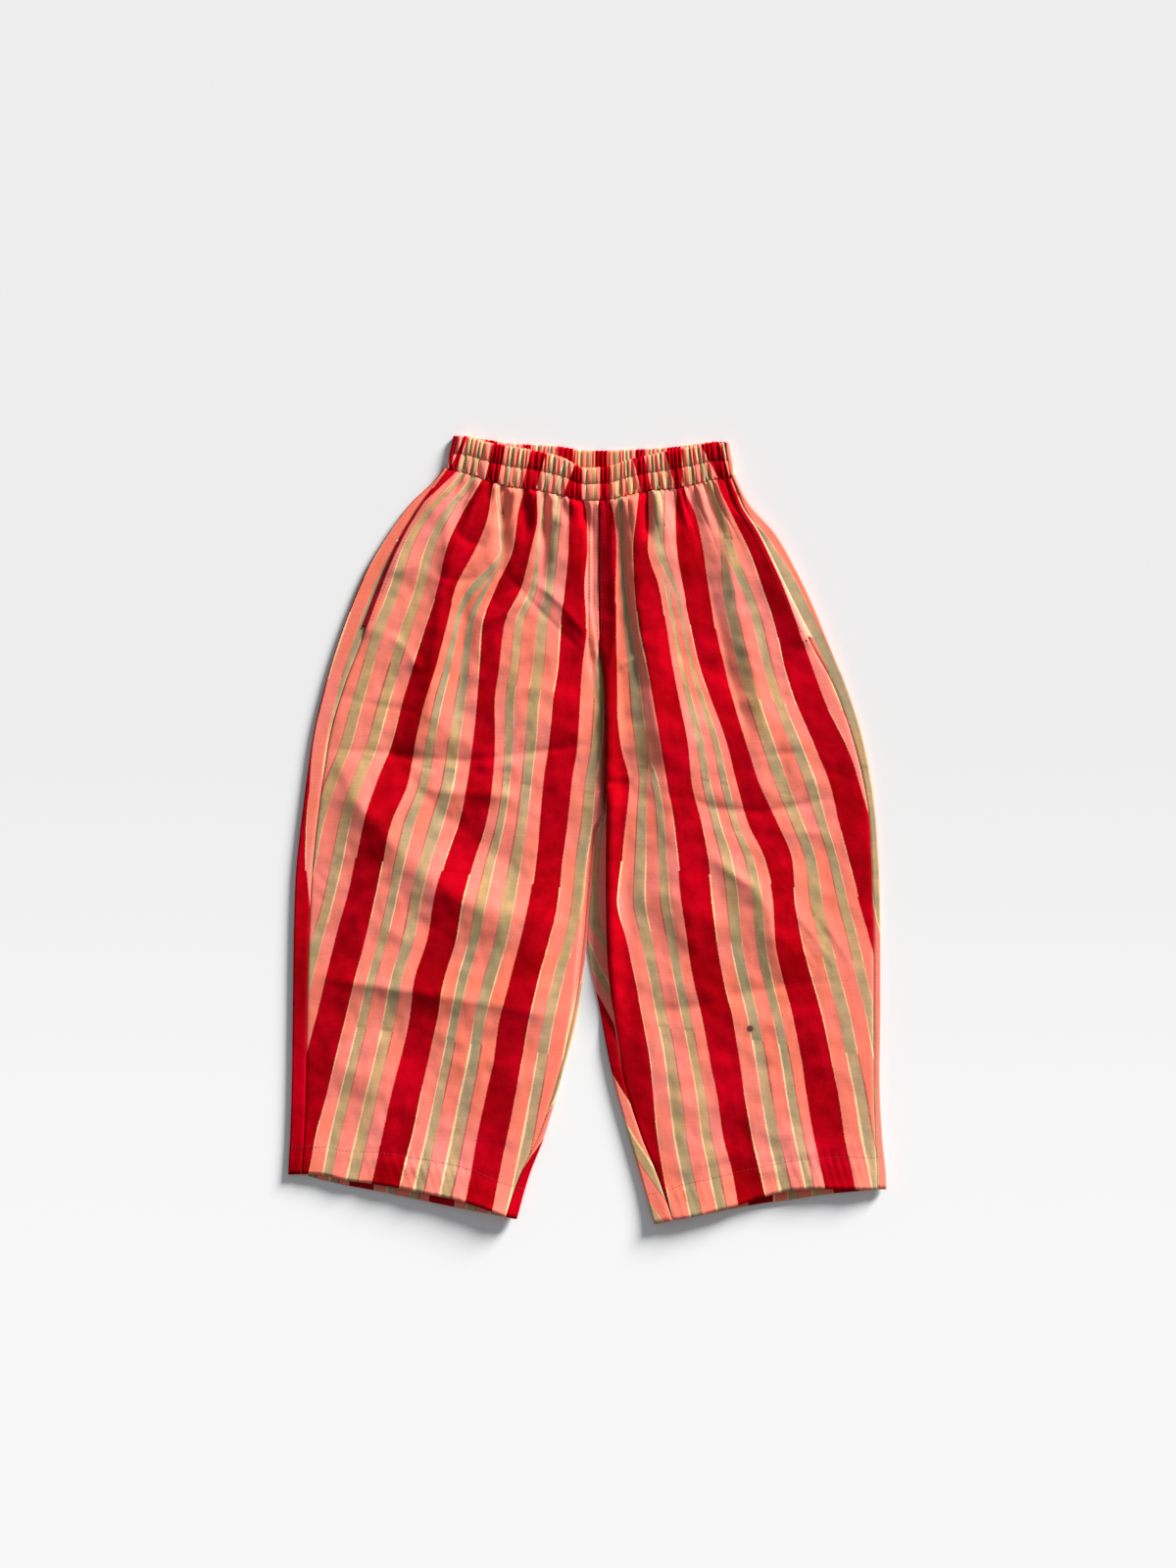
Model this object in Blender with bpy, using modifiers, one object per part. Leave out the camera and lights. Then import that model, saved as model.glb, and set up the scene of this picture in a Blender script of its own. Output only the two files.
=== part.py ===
"""Wide-leg trousers with a gathered elastic waist, laid flat and face up.

Each leg is a flattened tube of two panels. The back panel is the lower layer, which rests on
the surface, and it rolls up round the outer fold to the side seam and, below the crotch, round
the inner fold to the inseam. The front panel lies on it between those two seams. Above the
crotch the front panels meet at the centre front seam and the back panels at the centre back
seam. Two gathered casings make the waistband, and a facing lies in each pocket mouth.

X runs across the trousers and Y from the hems to the waist, with the origin under the middle
of the whole. Sizes are in millimetres and become metres where a mesh is made.
"""

import bpy
import numpy as np

MM = 0.001

# Cloth and seams
WALL = 1.5  # a panel's thickness
FACING_WALL = 1.0  # the pocket facing is thinner cloth
SEAM_GAP = 0.3  # between two pieces that are sewn together
LAYER_GAP = 0.3  # between two layers that lie on each other

# Height of the upper layer over the surface
FOLD_RADIUS = 2.3  # of the roll along a leg's side
WAIST_FOLD_RADIUS = 3.5  # of the same roll where it reaches the waistband
WAIST_FOLD_REACH = 50.0  # how far down the leg the bigger roll fades
PUFF = 1.9  # how much the middle of a leg rises over its folded sides
PUFF_REACH = 38.0
GATHER_LIFT = 2.0  # how much the gathered cloth rises under the waistband
GATHER_REACH = 75.0
HEM_DEPTH = 32.0  # of the turned-up hem
HEM_EDGE = 6.0  # over which its step rises
HEM_STEP = 0.7  # how much its second layer raises the cloth
LOWEST_TOP = 3.9  # the upper layer never sinks below this, so it stays off the lower one
CROTCH_Y = 20.0
CROTCH_REACH = 12.0  # half the length over which the flat seat turns into the inner roll
ROLL_STRIP = 1.0  # cloth past the roll where the seam lies on the fold itself
CROTCH_SLACK = 1.4  # how much further the back panels part where they start to roll
CROTCH_SLACK_REACH = 60.0

# Waistband: x, then y of the front casing's lower and top edges and of the back casing's
WAIST_COLUMNS = ("x", "low", "front_top", "back_low", "back_top")
WAIST = (
    (-162, 404, 438, 404, 441),
    (-138, 399, 440, 402.5, 440),
    (-112, 391, 433, 399, 436),
    (-88, 384, 429, 395, 432),
    (-54, 380, 423, 391.5, 430),
    (-28, 374, 416, 389, 428),
    (-3, 369, 404, 387, 424),
    (22, 370, 406, 386.5, 424),
    (46, 375, 414, 387.5, 425),
    (70, 380, 419, 389, 426),
    (96, 382, 425, 391, 428),
    (120, 387, 429, 393, 431),
    (142, 392, 433, 395, 434),
    (166, 394, 431, 397, 432),
)
CASING_ENDS = ((-159.0, -151.0), (164.5, 158.0))  # x of each side, at the bottom and at the top
CASING_THICK = 2.4  # two layers of cloth over the elastic
GATHERS = 45  # across each casing
CASING_ROWS = (  # place up the casing, height of its face and depth of its gathers there
    (0.00, 6.2, 0.7),
    (0.25, 8.0, 1.2),
    (0.50, 6.8, 0.8),
    (0.77, 8.2, 1.2),
    (1.00, 6.2, 0.9),
)
FRONT_CASING_UNDERSIDE = 3.6
BACK_GATHER = 0.5
TOP_EDGE_WAVE = 0.9

# Legs: y, then x of the outer fold, side seam, inner fold and inseam. Above the crotch the
# last two are the centre seams.
LEG_COLUMNS = ("y", "outer_fold", "side_seam", "inner_fold", "inseam")
RIGHT_LEVELS = (
    (410, -158, -153, 12, 12),
    (392, -171, -165, 12, 12),
    (364, -200, -185, 12, 12),
    (331, -224, -205, 12, 12),
    (293, -247, -223, 12, 12),
    (249, -266, -240, 12, 12),
    (205, -282, -256, 13, 13),
    (161, -295, -273, 18, 18),
    (106, -308, -289, 19, 19),
    (51, -316, -298, 19, 19),
    (20, -320, -302, 19, 19),
    (-4, -323, -305, 12, 8),
    (-59, -328, -310, 5, 1),
    (-125, -330, -313, -1, -5),
    (-202, -331, -315, -11, -15),
    (-279, -332, -316, -30, -34),
    (-345, -334, -318, -49, -56),
    (-389, -336, -321, -66, -77),
    (-445, -336, -321, -82, -96),
)
LEFT_LEVELS = (
    (400, 163, 158, 12, 12),
    (386, 169, 163, 12, 12),
    (364, 181, 171, 12, 12),
    (331, 210, 191, 12, 12),
    (293, 232, 209, 12, 12),
    (249, 253, 229, 12, 12),
    (205, 271, 251, 13, 13),
    (161, 289, 275, 18, 18),
    (106, 307, 295, 19, 19),
    (51, 318, 309, 19, 19),
    (20, 322, 314, 20, 24),
    (-4, 324, 316, 14, 25),
    (-59, 327, 318, 8, 22),
    (-125, 328, 320, 2, 22),
    (-202, 328, 320, 13, 27),
    (-279, 327, 320, 28, 40),
    (-345, 330, 322, 46, 60),
    (-389, 334, 324, 59, 78),
    (-445, 335, 324, 75, 97),
)

# Hems: x, then y of the upper layer's hem and of the lower layer's
HEM_COLUMNS = ("x", "front", "back")
RIGHT_HEM = (
    (-337, -387, -387),
    (-321, -386, -388),
    (-300, -387, -393),
    (-273, -393, -399),
    (-240, -397, -405),
    (-209, -402, -411),
    (-185, -407, -416),
    (-150, -414, -423),
    (-120, -423, -429),
    (-93, -433, -434),
    (-79, -436, -436),
)
LEFT_HEM = (
    (73, -442, -442),
    (97, -437, -438),
    (123, -432, -433),
    (170, -420, -424),
    (198, -411, -419),
    (229, -404, -415),
    (259, -402, -410),
    (297, -403, -406),
    (336, -403, -403),
)

# Deep folds that run down from the gathers: x at the waist, x and y where each fades, how deep
# and how wide it is
TROUGH_SPREAD = 0.6  # how much wider a fold is where it fades
TROUGH_HOLD = 1.3  # how far down its depth holds before it fades
RIGHT_TROUGHS = (
    (-142, -163, 325, 1.6, 5),
    (-129, -158, 310, 2.2, 6),
    (-108, -116, 335, 2.0, 5),
    (-94, -97, 275, 3.6, 6),
    (-71, -66, 300, 2.4, 6),
    (-48, -50, 262, 3.4, 5),
    (-29, -26, 340, 2.2, 5),
    (-4, 1, 318, 3.4, 4),
)
LEFT_TROUGHS = (
    (24, 28, 325, 1.6, 5),
    (66, 68, 312, 3.4, 5),
    (88, 92, 335, 2.2, 5),
    (97, 104, 295, 2.6, 6),
    (113, 126, 320, 2.2, 6),
    (131, 158, 300, 2.8, 6),
    (147, 178, 318, 1.8, 5),
)

# Where a leg's cloth laps down into the sunken middle: y and x of the lap's edge
LAP_COLUMNS = ("y", "x")
RIGHT_LAP = ((380, 4), (256, 4), (202, 11), (161, 24))
LEFT_LAP = ((380, 37), (295, 42), (241, 50), (187, 61), (161, 68))
LAP_DROP = 2.6
LAP_WIDTH = 4.0
LAP_END_Y = 150.0
LAP_FADE = 60.0

# Creases: x and y of the two ends, the height (below zero for a trough) and the width
CREASE_FADE = 30.0
CREASES = (
    (-220, 88, -12, 95, 0.9, 7),
    (-325, 52, -34, 26, -1.0, 10),
    (-286, -169, -14, -212, 0.9, 8),
    (-76, 262, -4, 210, -1.8, 6),
    (-102, 281, -68, 306, 1.3, 7),
    (34, 90, 306, 79, -0.8, 7),
    (132, 30, 282, 34, 1.3, 7),
    (110, -366, 308, -324, 0.8, 8),
)

# Pockets: y of the mouth's two ends, how far the facing shows outside and lies inside
RIGHT_POCKET = (382, 226, 4.0, 22.0)
LEFT_POCKET = (372, 214, 4.0, 22.0)
POCKET_LIFT = 3.1  # how much the front edge stands over the back panel along the mouth
POCKET_REACH = 25.0
POCKET_FADE = 16.0
FACING_SINK = 2.2  # how much the facing's inner edge lies below its outer one

# Grids
SEAM_STEPS = 12  # to find where a seam meets the waist and the hem
ROWS = 22
FRONT_COLUMNS = 28
STRIP_COLUMNS = 2
ROLL_COLUMNS = 4
SEAT_COLUMNS = 8
COLUMNS_PER_GATHER = 3
FACING_ROWS = 12
FACING_COLUMNS = 4

CORAL = (0.86, 0.25, 0.17)
ROSE = (0.80, 0.22, 0.18)
CRIMSON = (0.42, 0.01, 0.02)
CREAM = (0.90, 0.62, 0.42)

RIGHT = {
    "side": -1,
    "levels": RIGHT_LEVELS,
    "hem": RIGHT_HEM,
    "troughs": RIGHT_TROUGHS,
    "lap": RIGHT_LAP,
    "pocket": RIGHT_POCKET,
}
LEFT = {
    "side": 1,
    "levels": LEFT_LEVELS,
    "hem": LEFT_HEM,
    "troughs": LEFT_TROUGHS,
    "lap": LEFT_LAP,
    "pocket": LEFT_POCKET,
}


def smooth_curve(at, known, values):
    """A smooth curve through the points of a table, which never passes its highs and lows.

    Each stretch is a cubic whose end slopes are the harmonic mean of the two chords that meet
    there, or level where the chords turn back.
    """
    order = np.argsort(known)
    known, values = known[order], values[order]
    chord = np.diff(values) / np.diff(known)
    before, after = chord[:-1], chord[1:]
    same_way = before * after > 0
    total = np.where(same_way, before + after, 1.0)
    middle = np.where(same_way, 2 * before * after / total, 0.0)
    slope = np.concatenate([chord[:1], middle, chord[-1:]])
    at = np.clip(at, known[0], known[-1])
    i = np.clip(np.searchsorted(known, at) - 1, 0, len(known) - 2)
    span = known[i + 1] - known[i]
    u = (at - known[i]) / span
    return (
        (1 + 2 * u) * (1 - u) ** 2 * values[i]
        + u * (1 - u) ** 2 * span * slope[i]
        + u**2 * (3 - 2 * u) * values[i + 1]
        + u**2 * (u - 1) * span * slope[i + 1]
    )


def read_column(table, columns, name):
    return np.array([row[columns.index(name)] for row in table], float)


def waist_line(name, x):
    return smooth_curve(
        x, read_column(WAIST, WAIST_COLUMNS, "x"), read_column(WAIST, WAIST_COLUMNS, name)
    )


def leg_line(leg, name, y):
    return smooth_curve(
        y,
        read_column(leg["levels"], LEG_COLUMNS, "y"),
        read_column(leg["levels"], LEG_COLUMNS, name),
    )


def hem_line(leg, name, x):
    return smooth_curve(
        x, read_column(leg["hem"], HEM_COLUMNS, "x"), read_column(leg["hem"], HEM_COLUMNS, name)
    )


def lap_line(leg, y):
    return smooth_curve(
        y, read_column(leg["lap"], LAP_COLUMNS, "y"), read_column(leg["lap"], LAP_COLUMNS, "x")
    )


def blend(start, end, share):
    return start + (end - start) * share


def ease(u):
    """0 up to u = 0 and 1 from u = 1, with a smooth S between them."""
    u = np.clip(u, 0.0, 1.0)
    return u * u * (3 - 2 * u)


def fold_radius(y):
    """The side roll's radius, which grows towards the waistband."""
    below_waist = np.maximum(waist_line("low", 0.0) - y, 0.0)
    grown = np.exp(-below_waist / WAIST_FOLD_REACH)
    return blend(FOLD_RADIUS, WAIST_FOLD_RADIUS, grown)


def crease_heights(x, y):
    """The sum of the creases: each is a bell across its line, which fades at the line's ends."""
    total = np.zeros_like(x)
    for x1, y1, x2, y2, height, width in CREASES:
        length = np.hypot(x2 - x1, y2 - y1)
        along = ((x - x1) * (x2 - x1) + (y - y1) * (y2 - y1)) / length
        across = ((x - x1) * (y2 - y1) - (y - y1) * (x2 - x1)) / length
        ends = ease(along / CREASE_FADE + 0.5) * ease((length - along) / CREASE_FADE + 0.5)
        total += height * ends * np.exp(-((across / width) ** 2))
    return total


def trough_depths(leg, x, y):
    """The sum of the gather folds: bells across lines that fan out and fade down the leg."""
    waist_y = waist_line("low", x)
    total = np.zeros_like(x)
    for x_top, x_end, y_end, depth, width in leg["troughs"]:
        down = np.clip((waist_y - y) / (waist_y - y_end), 0.0, 1.0)
        centre = blend(x_top, x_end, down)
        spread = width * (1 + TROUGH_SPREAD * down)
        held = ease(TROUGH_HOLD * (1 - down))
        total += depth * held * np.exp(-(((x - centre) / spread) ** 2))
    return total


def lap_depth(leg, x, y):
    """How far the cloth sinks between the lap's edge and the centre seam."""
    past_edge = -leg["side"] * (x - lap_line(leg, y)) / LAP_WIDTH
    fading = ease((y - LAP_END_Y) / LAP_FADE)
    return LAP_DROP * fading * ease(past_edge + 0.5)


def top_height(leg, x, y):
    """Height of the upper layer over the surface.

    It starts at the side rolls' height, rises to the middle of the leg, and takes the gathers,
    the lap beside the centre seam and the creases.
    """
    radius = fold_radius(y)
    from_outer = -leg["side"] * (x - leg_line(leg, "outer_fold", y)) - radius
    from_inner = leg["side"] * (x - leg_line(leg, "inner_fold", y)) - radius
    below_crotch = ease((CROTCH_Y + CROTCH_REACH - y) / (4 * CROTCH_REACH))
    rise_out = 1 - np.exp(-np.maximum(from_outer, 0.0) / PUFF_REACH)
    rise_in = 1 - below_crotch * np.exp(-np.maximum(from_inner, 0.0) / PUFF_REACH)
    below_waist = np.maximum(waist_line("low", x) - y, 0.0)
    gather_lift = GATHER_LIFT * np.exp(-below_waist / GATHER_REACH)
    rise = rise_out * rise_in
    height = 2 * radius + (PUFF + gather_lift) * rise
    height += rise * (crease_heights(x, y) - trough_depths(leg, x, y) - lap_depth(leg, x, y))
    from_hem = y - hem_line(leg, "front", x)
    height += HEM_STEP * rise * ease((HEM_DEPTH - from_hem) / HEM_EDGE + 0.5)
    return np.maximum(height, LOWEST_TOP)


def pocket_lift(leg, x, y):
    """How much the front panel stands over the facing, from the waist to the mouth's end."""
    bottom = leg["pocket"][1]
    along = ease((y - bottom) / POCKET_FADE + 1)
    inward = -leg["side"] * (x - leg_line(leg, "side_seam", y))
    return POCKET_LIFT * along * np.exp(-((inward / POCKET_REACH) ** 2))


def seam_ends(leg, name, hem_name, waist_name, waist_drop=0.0):
    """y of the top and of the hem of one of a leg's lines, each found by a few steps."""
    top_y, hem_y = float(WAIST[0][1]), float(RIGHT_HEM[0][1])
    for _ in range(SEAM_STEPS):
        top_y = waist_line(waist_name, leg_line(leg, name, top_y)) - waist_drop
        hem_y = hem_line(leg, hem_name, leg_line(leg, name, hem_y))
    return float(top_y), float(hem_y)


def front_panel_points(leg, columns, rows):
    """The front panel's outer face, as a grid from the side seam to the inner edge.

    A point lies on the straight line between the two edges at its row, moved along Y by the
    bow of the waist line near the top and by the bow of the hem near the bottom.
    """
    s = np.linspace(0, 1, columns + 1)[None, :]
    t = np.linspace(0, 1, rows + 1)[:, None]
    side_top, side_hem = seam_ends(leg, "side_seam", "front", "low", SEAM_GAP)
    inner_top, inner_hem = seam_ends(leg, "inseam", "front", "low", SEAM_GAP)
    side_y = blend(side_top, side_hem, t)
    inner_y = blend(inner_top, inner_hem, t)
    half_gap = SEAM_GAP / 2
    side_x = leg_line(leg, "side_seam", side_y) - leg["side"] * half_gap
    inner_x = leg_line(leg, "inseam", inner_y) + leg["side"] * half_gap
    x = blend(side_x, inner_x, s)
    top_bow = waist_line("low", x[:1]) - SEAM_GAP - blend(side_top, inner_top, s)
    hem_bow = hem_line(leg, "front", x[-1:]) - blend(side_hem, inner_hem, s)
    y = blend(side_y, inner_y, s) + (1 - t) * top_bow + t * hem_bow
    z = top_height(leg, x, y) + pocket_lift(leg, x, y)
    return x, y, z


def back_panel_points(leg, columns, rows):
    """The back panel's outer face, as a grid from the side seam round to the inseam.

    Columns run over the upper strip, round the outer roll, across the flat seat, round the
    inner roll and over the inner strip. Above the crotch the inner roll and strip lie flat.
    """
    strip, roll, seat = columns
    side = leg["side"]
    t = np.linspace(0, 1, rows + 1)[:, None]
    half_gap = SEAM_GAP / 2

    fold_top, fold_hem = seam_ends(leg, "outer_fold", "back", "back_low", SEAM_GAP)
    side_top, side_hem = seam_ends(leg, "side_seam", "front", "low", SEAM_GAP)
    inner_top, inner_hem = seam_ends(leg, "inner_fold", "back", "back_low", SEAM_GAP)
    seam_top, seam_hem = seam_ends(leg, "inseam", "front", "low", SEAM_GAP)
    fold_y = blend(fold_top, fold_hem, t)
    inner_y = blend(inner_top, inner_hem, t)
    side_y = blend(side_top, side_hem, t)
    seam_y = blend(seam_top, seam_hem, t)

    # Outer strip, from the side seam to the top of the roll
    s = np.linspace(0, 1, strip + 1)[None, :]
    radius = fold_radius(fold_y)
    roll_x = leg_line(leg, "outer_fold", fold_y) - side * radius
    strip_x = blend(leg_line(leg, "side_seam", side_y) + side * half_gap, roll_x, s)
    strip_y = blend(side_y, fold_y, s)
    strip_z = top_height(leg, strip_x, strip_y)
    strip_z[:, -1:] = 2 * radius

    # Outer roll, a half circle from the top to the surface
    angle = np.pi * np.linspace(0, 1, roll + 1)[None, 1:]
    arc_x = roll_x + side * radius * np.sin(angle)
    arc_y = fold_y + 0 * angle
    arc_z = radius * (1 + np.cos(angle))

    # Seat, flat on the surface
    inner_radius = fold_radius(inner_y)
    inner_fold_x = leg_line(leg, "inner_fold", inner_y)
    inseam_x = leg_line(leg, "inseam", seam_y) - side * half_gap
    rolled = ease((CROTCH_Y - inner_y) / (2 * CROTCH_REACH) + 0.5)
    inner_roll_x = inner_fold_x + side * inner_radius
    slack = CROTCH_SLACK * np.exp(-(((inner_y - CROTCH_Y) / CROTCH_SLACK_REACH) ** 2))
    seat_seam_x = inner_fold_x + side * (half_gap + slack)
    flat_roll_x = seat_seam_x + side * (np.pi * inner_radius + ROLL_STRIP)
    inner_start_x = blend(flat_roll_x, inner_roll_x, rolled)
    s = np.linspace(0, 1, seat + 1)[None, 1:]
    seat_x = blend(roll_x, inner_start_x, s)
    top_bow = waist_line("back_low", seat_x[:1]) - SEAM_GAP - blend(fold_top, inner_top, s)
    hem_bow = hem_line(leg, "back", seat_x[-1:]) - blend(fold_hem, inner_hem, s)
    seat_y = blend(fold_y, inner_y, s) + (1 - t) * top_bow + t * hem_bow
    seat_z = np.zeros_like(seat_x)

    # Inner roll and strip, rolled up below the crotch and flat above it
    angle = np.pi * np.linspace(0, 1, roll + 1)[None, 1:]
    rolled_x = inner_roll_x - side * inner_radius * np.sin(angle)
    flat_x = flat_roll_x - side * inner_radius * angle
    in_arc_x = blend(flat_x, rolled_x, rolled)
    in_arc_y = inner_y + 0 * angle
    in_arc_z = rolled * inner_radius * (1 - np.cos(angle))
    s = np.linspace(0, 1, strip + 1)[None, 1:]
    rolled_x = blend(inner_roll_x, inseam_x, s)
    flat_x = seat_seam_x + side * ROLL_STRIP * (1 - s)
    in_strip_x = blend(flat_x, rolled_x, rolled)
    in_strip_y = blend(inner_y, blend(inner_y, seam_y, rolled), s)
    in_strip_z = rolled * top_height(leg, rolled_x, in_strip_y)

    x = np.hstack([strip_x, arc_x, seat_x, in_arc_x, in_strip_x])
    y = np.hstack([strip_y, arc_y, seat_y, in_arc_y, in_strip_y])
    z = np.hstack([strip_z, arc_z, seat_z, in_arc_z, in_strip_z])
    return x, y, z


def facing_points(leg, columns, rows):
    """The pocket facing's outer face: a strip under the mouth, which sinks towards the leg."""
    top, bottom, outside, inside = leg["pocket"]
    s = np.linspace(0, 1, columns + 1)[None, :]
    t = np.linspace(0, 1, rows + 1)[:, None]
    y = blend(top, bottom, t) + 0 * s
    inward = blend(-outside, inside, s)
    x = leg_line(leg, "side_seam", y) - leg["side"] * inward
    sink = FACING_SINK * np.maximum(inward, 0.0) / inside
    z = top_height(leg, x, y) + LAYER_GAP + FACING_WALL - sink
    return x, y, z


def gather_wave(columns):
    """One wave for each gather, -1 in its valley, with three columns to a gather."""
    phase = 2 * np.pi * np.arange(columns + 1) / COLUMNS_PER_GATHER
    return -np.cos(phase)[None, :]


def front_casing_points():
    """The front casing's outer face and underside, from one side seam to the other."""
    columns = GATHERS * COLUMNS_PER_GATHER
    s = np.linspace(0, 1, columns + 1)[None, :]
    v = np.array([row[0] for row in CASING_ROWS])[:, None]
    face = np.array([row[1] for row in CASING_ROWS])[:, None]
    depth = np.array([row[2] for row in CASING_ROWS])[:, None]
    (left_low, left_top), (right_low, right_top) = CASING_ENDS
    inset = WAIST_FOLD_RADIUS + ROLL_STRIP + SEAM_GAP
    left_x = blend(left_low, left_top, v) + inset
    right_x = blend(right_low, right_top, v) - inset
    x = blend(left_x, right_x, s)
    wave = gather_wave(columns)
    y = blend(waist_line("low", x), waist_line("front_top", x), v)
    y = y + TOP_EDGE_WAVE * wave * v**4
    outer_z = face + depth * wave
    inner_z = np.full_like(outer_z, FRONT_CASING_UNDERSIDE)
    return (x, y, outer_z), (x, y, inner_z)


def back_casing_points():
    """The back casing's underside and inner face, with both ends rolled up to the side seams."""
    columns = GATHERS * COLUMNS_PER_GATHER
    v = np.array([row[0] for row in CASING_ROWS])[:, None]
    (left_low, left_top), (right_low, right_top) = CASING_ENDS
    left_x = blend(left_low, left_top, v)
    right_x = blend(right_low, right_top, v)
    radius = WAIST_FOLD_RADIUS
    inner_radius = radius - CASING_THICK
    angle = np.pi * np.linspace(0, 1, ROLL_COLUMNS + 1)[None, :]
    s = np.linspace(0, 1, columns + 1)[None, 1:-1]
    wave = gather_wave(columns)[:, 1:-1]

    def end_roll(edge_x, side, size):
        """A half circle round the middle of the roll, from the seam down to the surface."""
        return edge_x - side * radius + side * size * np.sin(angle), radius + size * np.cos(angle)

    def end_strip(edge_x, side, size):
        return edge_x - side * (radius + ROLL_STRIP), radius + size + 0 * edge_x

    def wall(size, ripple_z):
        """One face of the casing, at this distance from the middle of its rolls."""
        left_strip = end_strip(left_x, -1, size)
        left_roll = end_roll(left_x, -1, size)
        right_roll = end_roll(right_x, 1, size)
        right_strip = end_strip(right_x, 1, size)
        flat_x = blend(left_x + radius, right_x - radius, s)
        flat_z = radius - size + ripple_z + 0 * flat_x
        x = np.hstack(
            [left_strip[0], left_roll[0], flat_x, right_roll[0][:, ::-1], right_strip[0]]
        )
        z = np.hstack(
            [
                left_strip[1],
                left_roll[1] + 0 * left_x,
                flat_z,
                right_roll[1][:, ::-1] + 0 * right_x,
                right_strip[1],
            ]
        )
        flat_wave = np.zeros_like(x)
        first = 1 + angle.shape[1]
        flat_wave[:, first : first + wave.shape[1]] = wave
        y = blend(waist_line("back_low", x), waist_line("back_top", x), v)
        return x, y + TOP_EDGE_WAVE * flat_wave * v**4, z

    outer = wall(radius, BACK_GATHER * (1 - wave) / 2)
    inner = wall(inner_radius, BACK_GATHER * (1 - wave) / 2 + BACK_GATHER * wave)
    return outer, inner


def grid_faces(rows, columns, first=0):
    """The quads of a grid whose points are numbered row by row from first."""
    index = np.arange(rows * columns).reshape(rows, columns) + first
    corners = (index[:-1, :-1], index[:-1, 1:], index[1:, 1:], index[1:, :-1])
    return np.stack([corner.ravel() for corner in corners], axis=1)


def edge_loop(rows, columns):
    """The numbers of a grid's edge points, once round."""
    index = np.arange(rows * columns).reshape(rows, columns)
    return np.concatenate(
        [index[0, :-1], index[:-1, -1], index[-1, :0:-1], index[:0:-1, 0]]
    )


def make_material(name, colour):
    material = bpy.data.materials.new(name)
    material.diffuse_color = (*colour, 1.0)
    material.use_nodes = True
    shader = material.node_tree.nodes["Principled BSDF"]
    shader.inputs["Base Color"].default_value = (*colour, 1.0)
    shader.inputs["Roughness"].default_value = 0.85
    shader.inputs["Metallic"].default_value = 0.0
    return material


def add_object(name, points, faces, material):
    mesh = bpy.data.meshes.new(name)
    mesh.from_pydata((np.asarray(points) * MM).tolist(), [], faces.tolist())
    mesh.materials.append(material)
    mesh.shade_smooth()
    mesh.validate()
    piece = bpy.data.objects.new(name, mesh)
    collection.objects.link(piece)
    return piece


def add_cloth(name, grid, wall, flip, material):
    """A panel: its outer face as an open grid, which Solidify makes a wall of cloth."""
    x, y, z = grid
    points = np.stack([x.ravel(), y.ravel(), z.ravel()], axis=1)
    faces = grid_faces(*x.shape)
    if flip:
        faces = faces[:, ::-1]
    piece = add_object(name, points, faces, material)
    solid = piece.modifiers.new("Wall", "SOLIDIFY")
    solid.thickness = wall * MM
    solid.offset = -1.0
    solid.use_even_offset = False
    return piece


def add_casing(name, outer, inner, flip, material):
    """A casing: a loft between its gathered face and its smoother other face."""
    rows, columns = outer[0].shape
    points = np.vstack(
        [np.stack([part.ravel() for part in grid], axis=1) for grid in (outer, inner)]
    )
    count = rows * columns
    loop = edge_loop(rows, columns)
    onward = np.roll(loop, -1)
    outer_faces = grid_faces(rows, columns)
    inner_faces = grid_faces(rows, columns, count)[:, ::-1]
    rim = np.stack([loop, loop + count, onward + count, onward], axis=1)
    faces = np.vstack([outer_faces, inner_faces, rim])
    if flip:
        faces = faces[:, ::-1]
    return add_object(name, points, faces, material)


for old in list(bpy.data.objects):
    bpy.data.objects.remove(old, do_unlink=True)

collection = bpy.data.collections.new("wide_leg_trousers")
bpy.context.scene.collection.children.link(collection)

front_cloth = make_material("front cloth", CORAL)
back_cloth = make_material("back cloth", ROSE)
casing_cloth = make_material("casing cloth", CRIMSON)
facing_cloth = make_material("facing cloth", CREAM)

BACK_COLUMNS = (STRIP_COLUMNS, ROLL_COLUMNS, SEAT_COLUMNS)
for word, leg in (("right", RIGHT), ("left", LEFT)):
    mirrored = leg["side"] > 0
    front = front_panel_points(leg, FRONT_COLUMNS, ROWS)
    back = back_panel_points(leg, BACK_COLUMNS, ROWS)
    facing = facing_points(leg, FACING_COLUMNS, FACING_ROWS)
    add_cloth(f"{word}_front_leg", front, WALL, not mirrored, front_cloth)
    add_cloth(f"{word}_back_leg", back, WALL, mirrored, back_cloth)
    add_cloth(f"{word}_pocket_facing", facing, FACING_WALL, not mirrored, facing_cloth)

add_casing("front_waistband", *front_casing_points(), False, casing_cloth)
add_casing("back_waistband", *back_casing_points(), True, casing_cloth)
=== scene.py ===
# %% [markdown]
# # Wide-leg trousers with a gathered waist, laid flat
#
# The real garment is thin block-printed cotton. Each leg is one front panel and one back panel,
# sewn at the outer side and along the inside of the leg, and the two legs meet at the centre
# seams. Elastic drawn through a casing gathers the waist. It lies face up on a pale surface,
# seen from straight above.
#
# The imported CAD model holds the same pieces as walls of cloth. This script lays a thin, finely
# wrinkled shell on each of them. X runs across, Y from the hems up to the waist and Z away from
# the surface. Tables and functions work in millimetres, and a mesh is written in metres.

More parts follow.
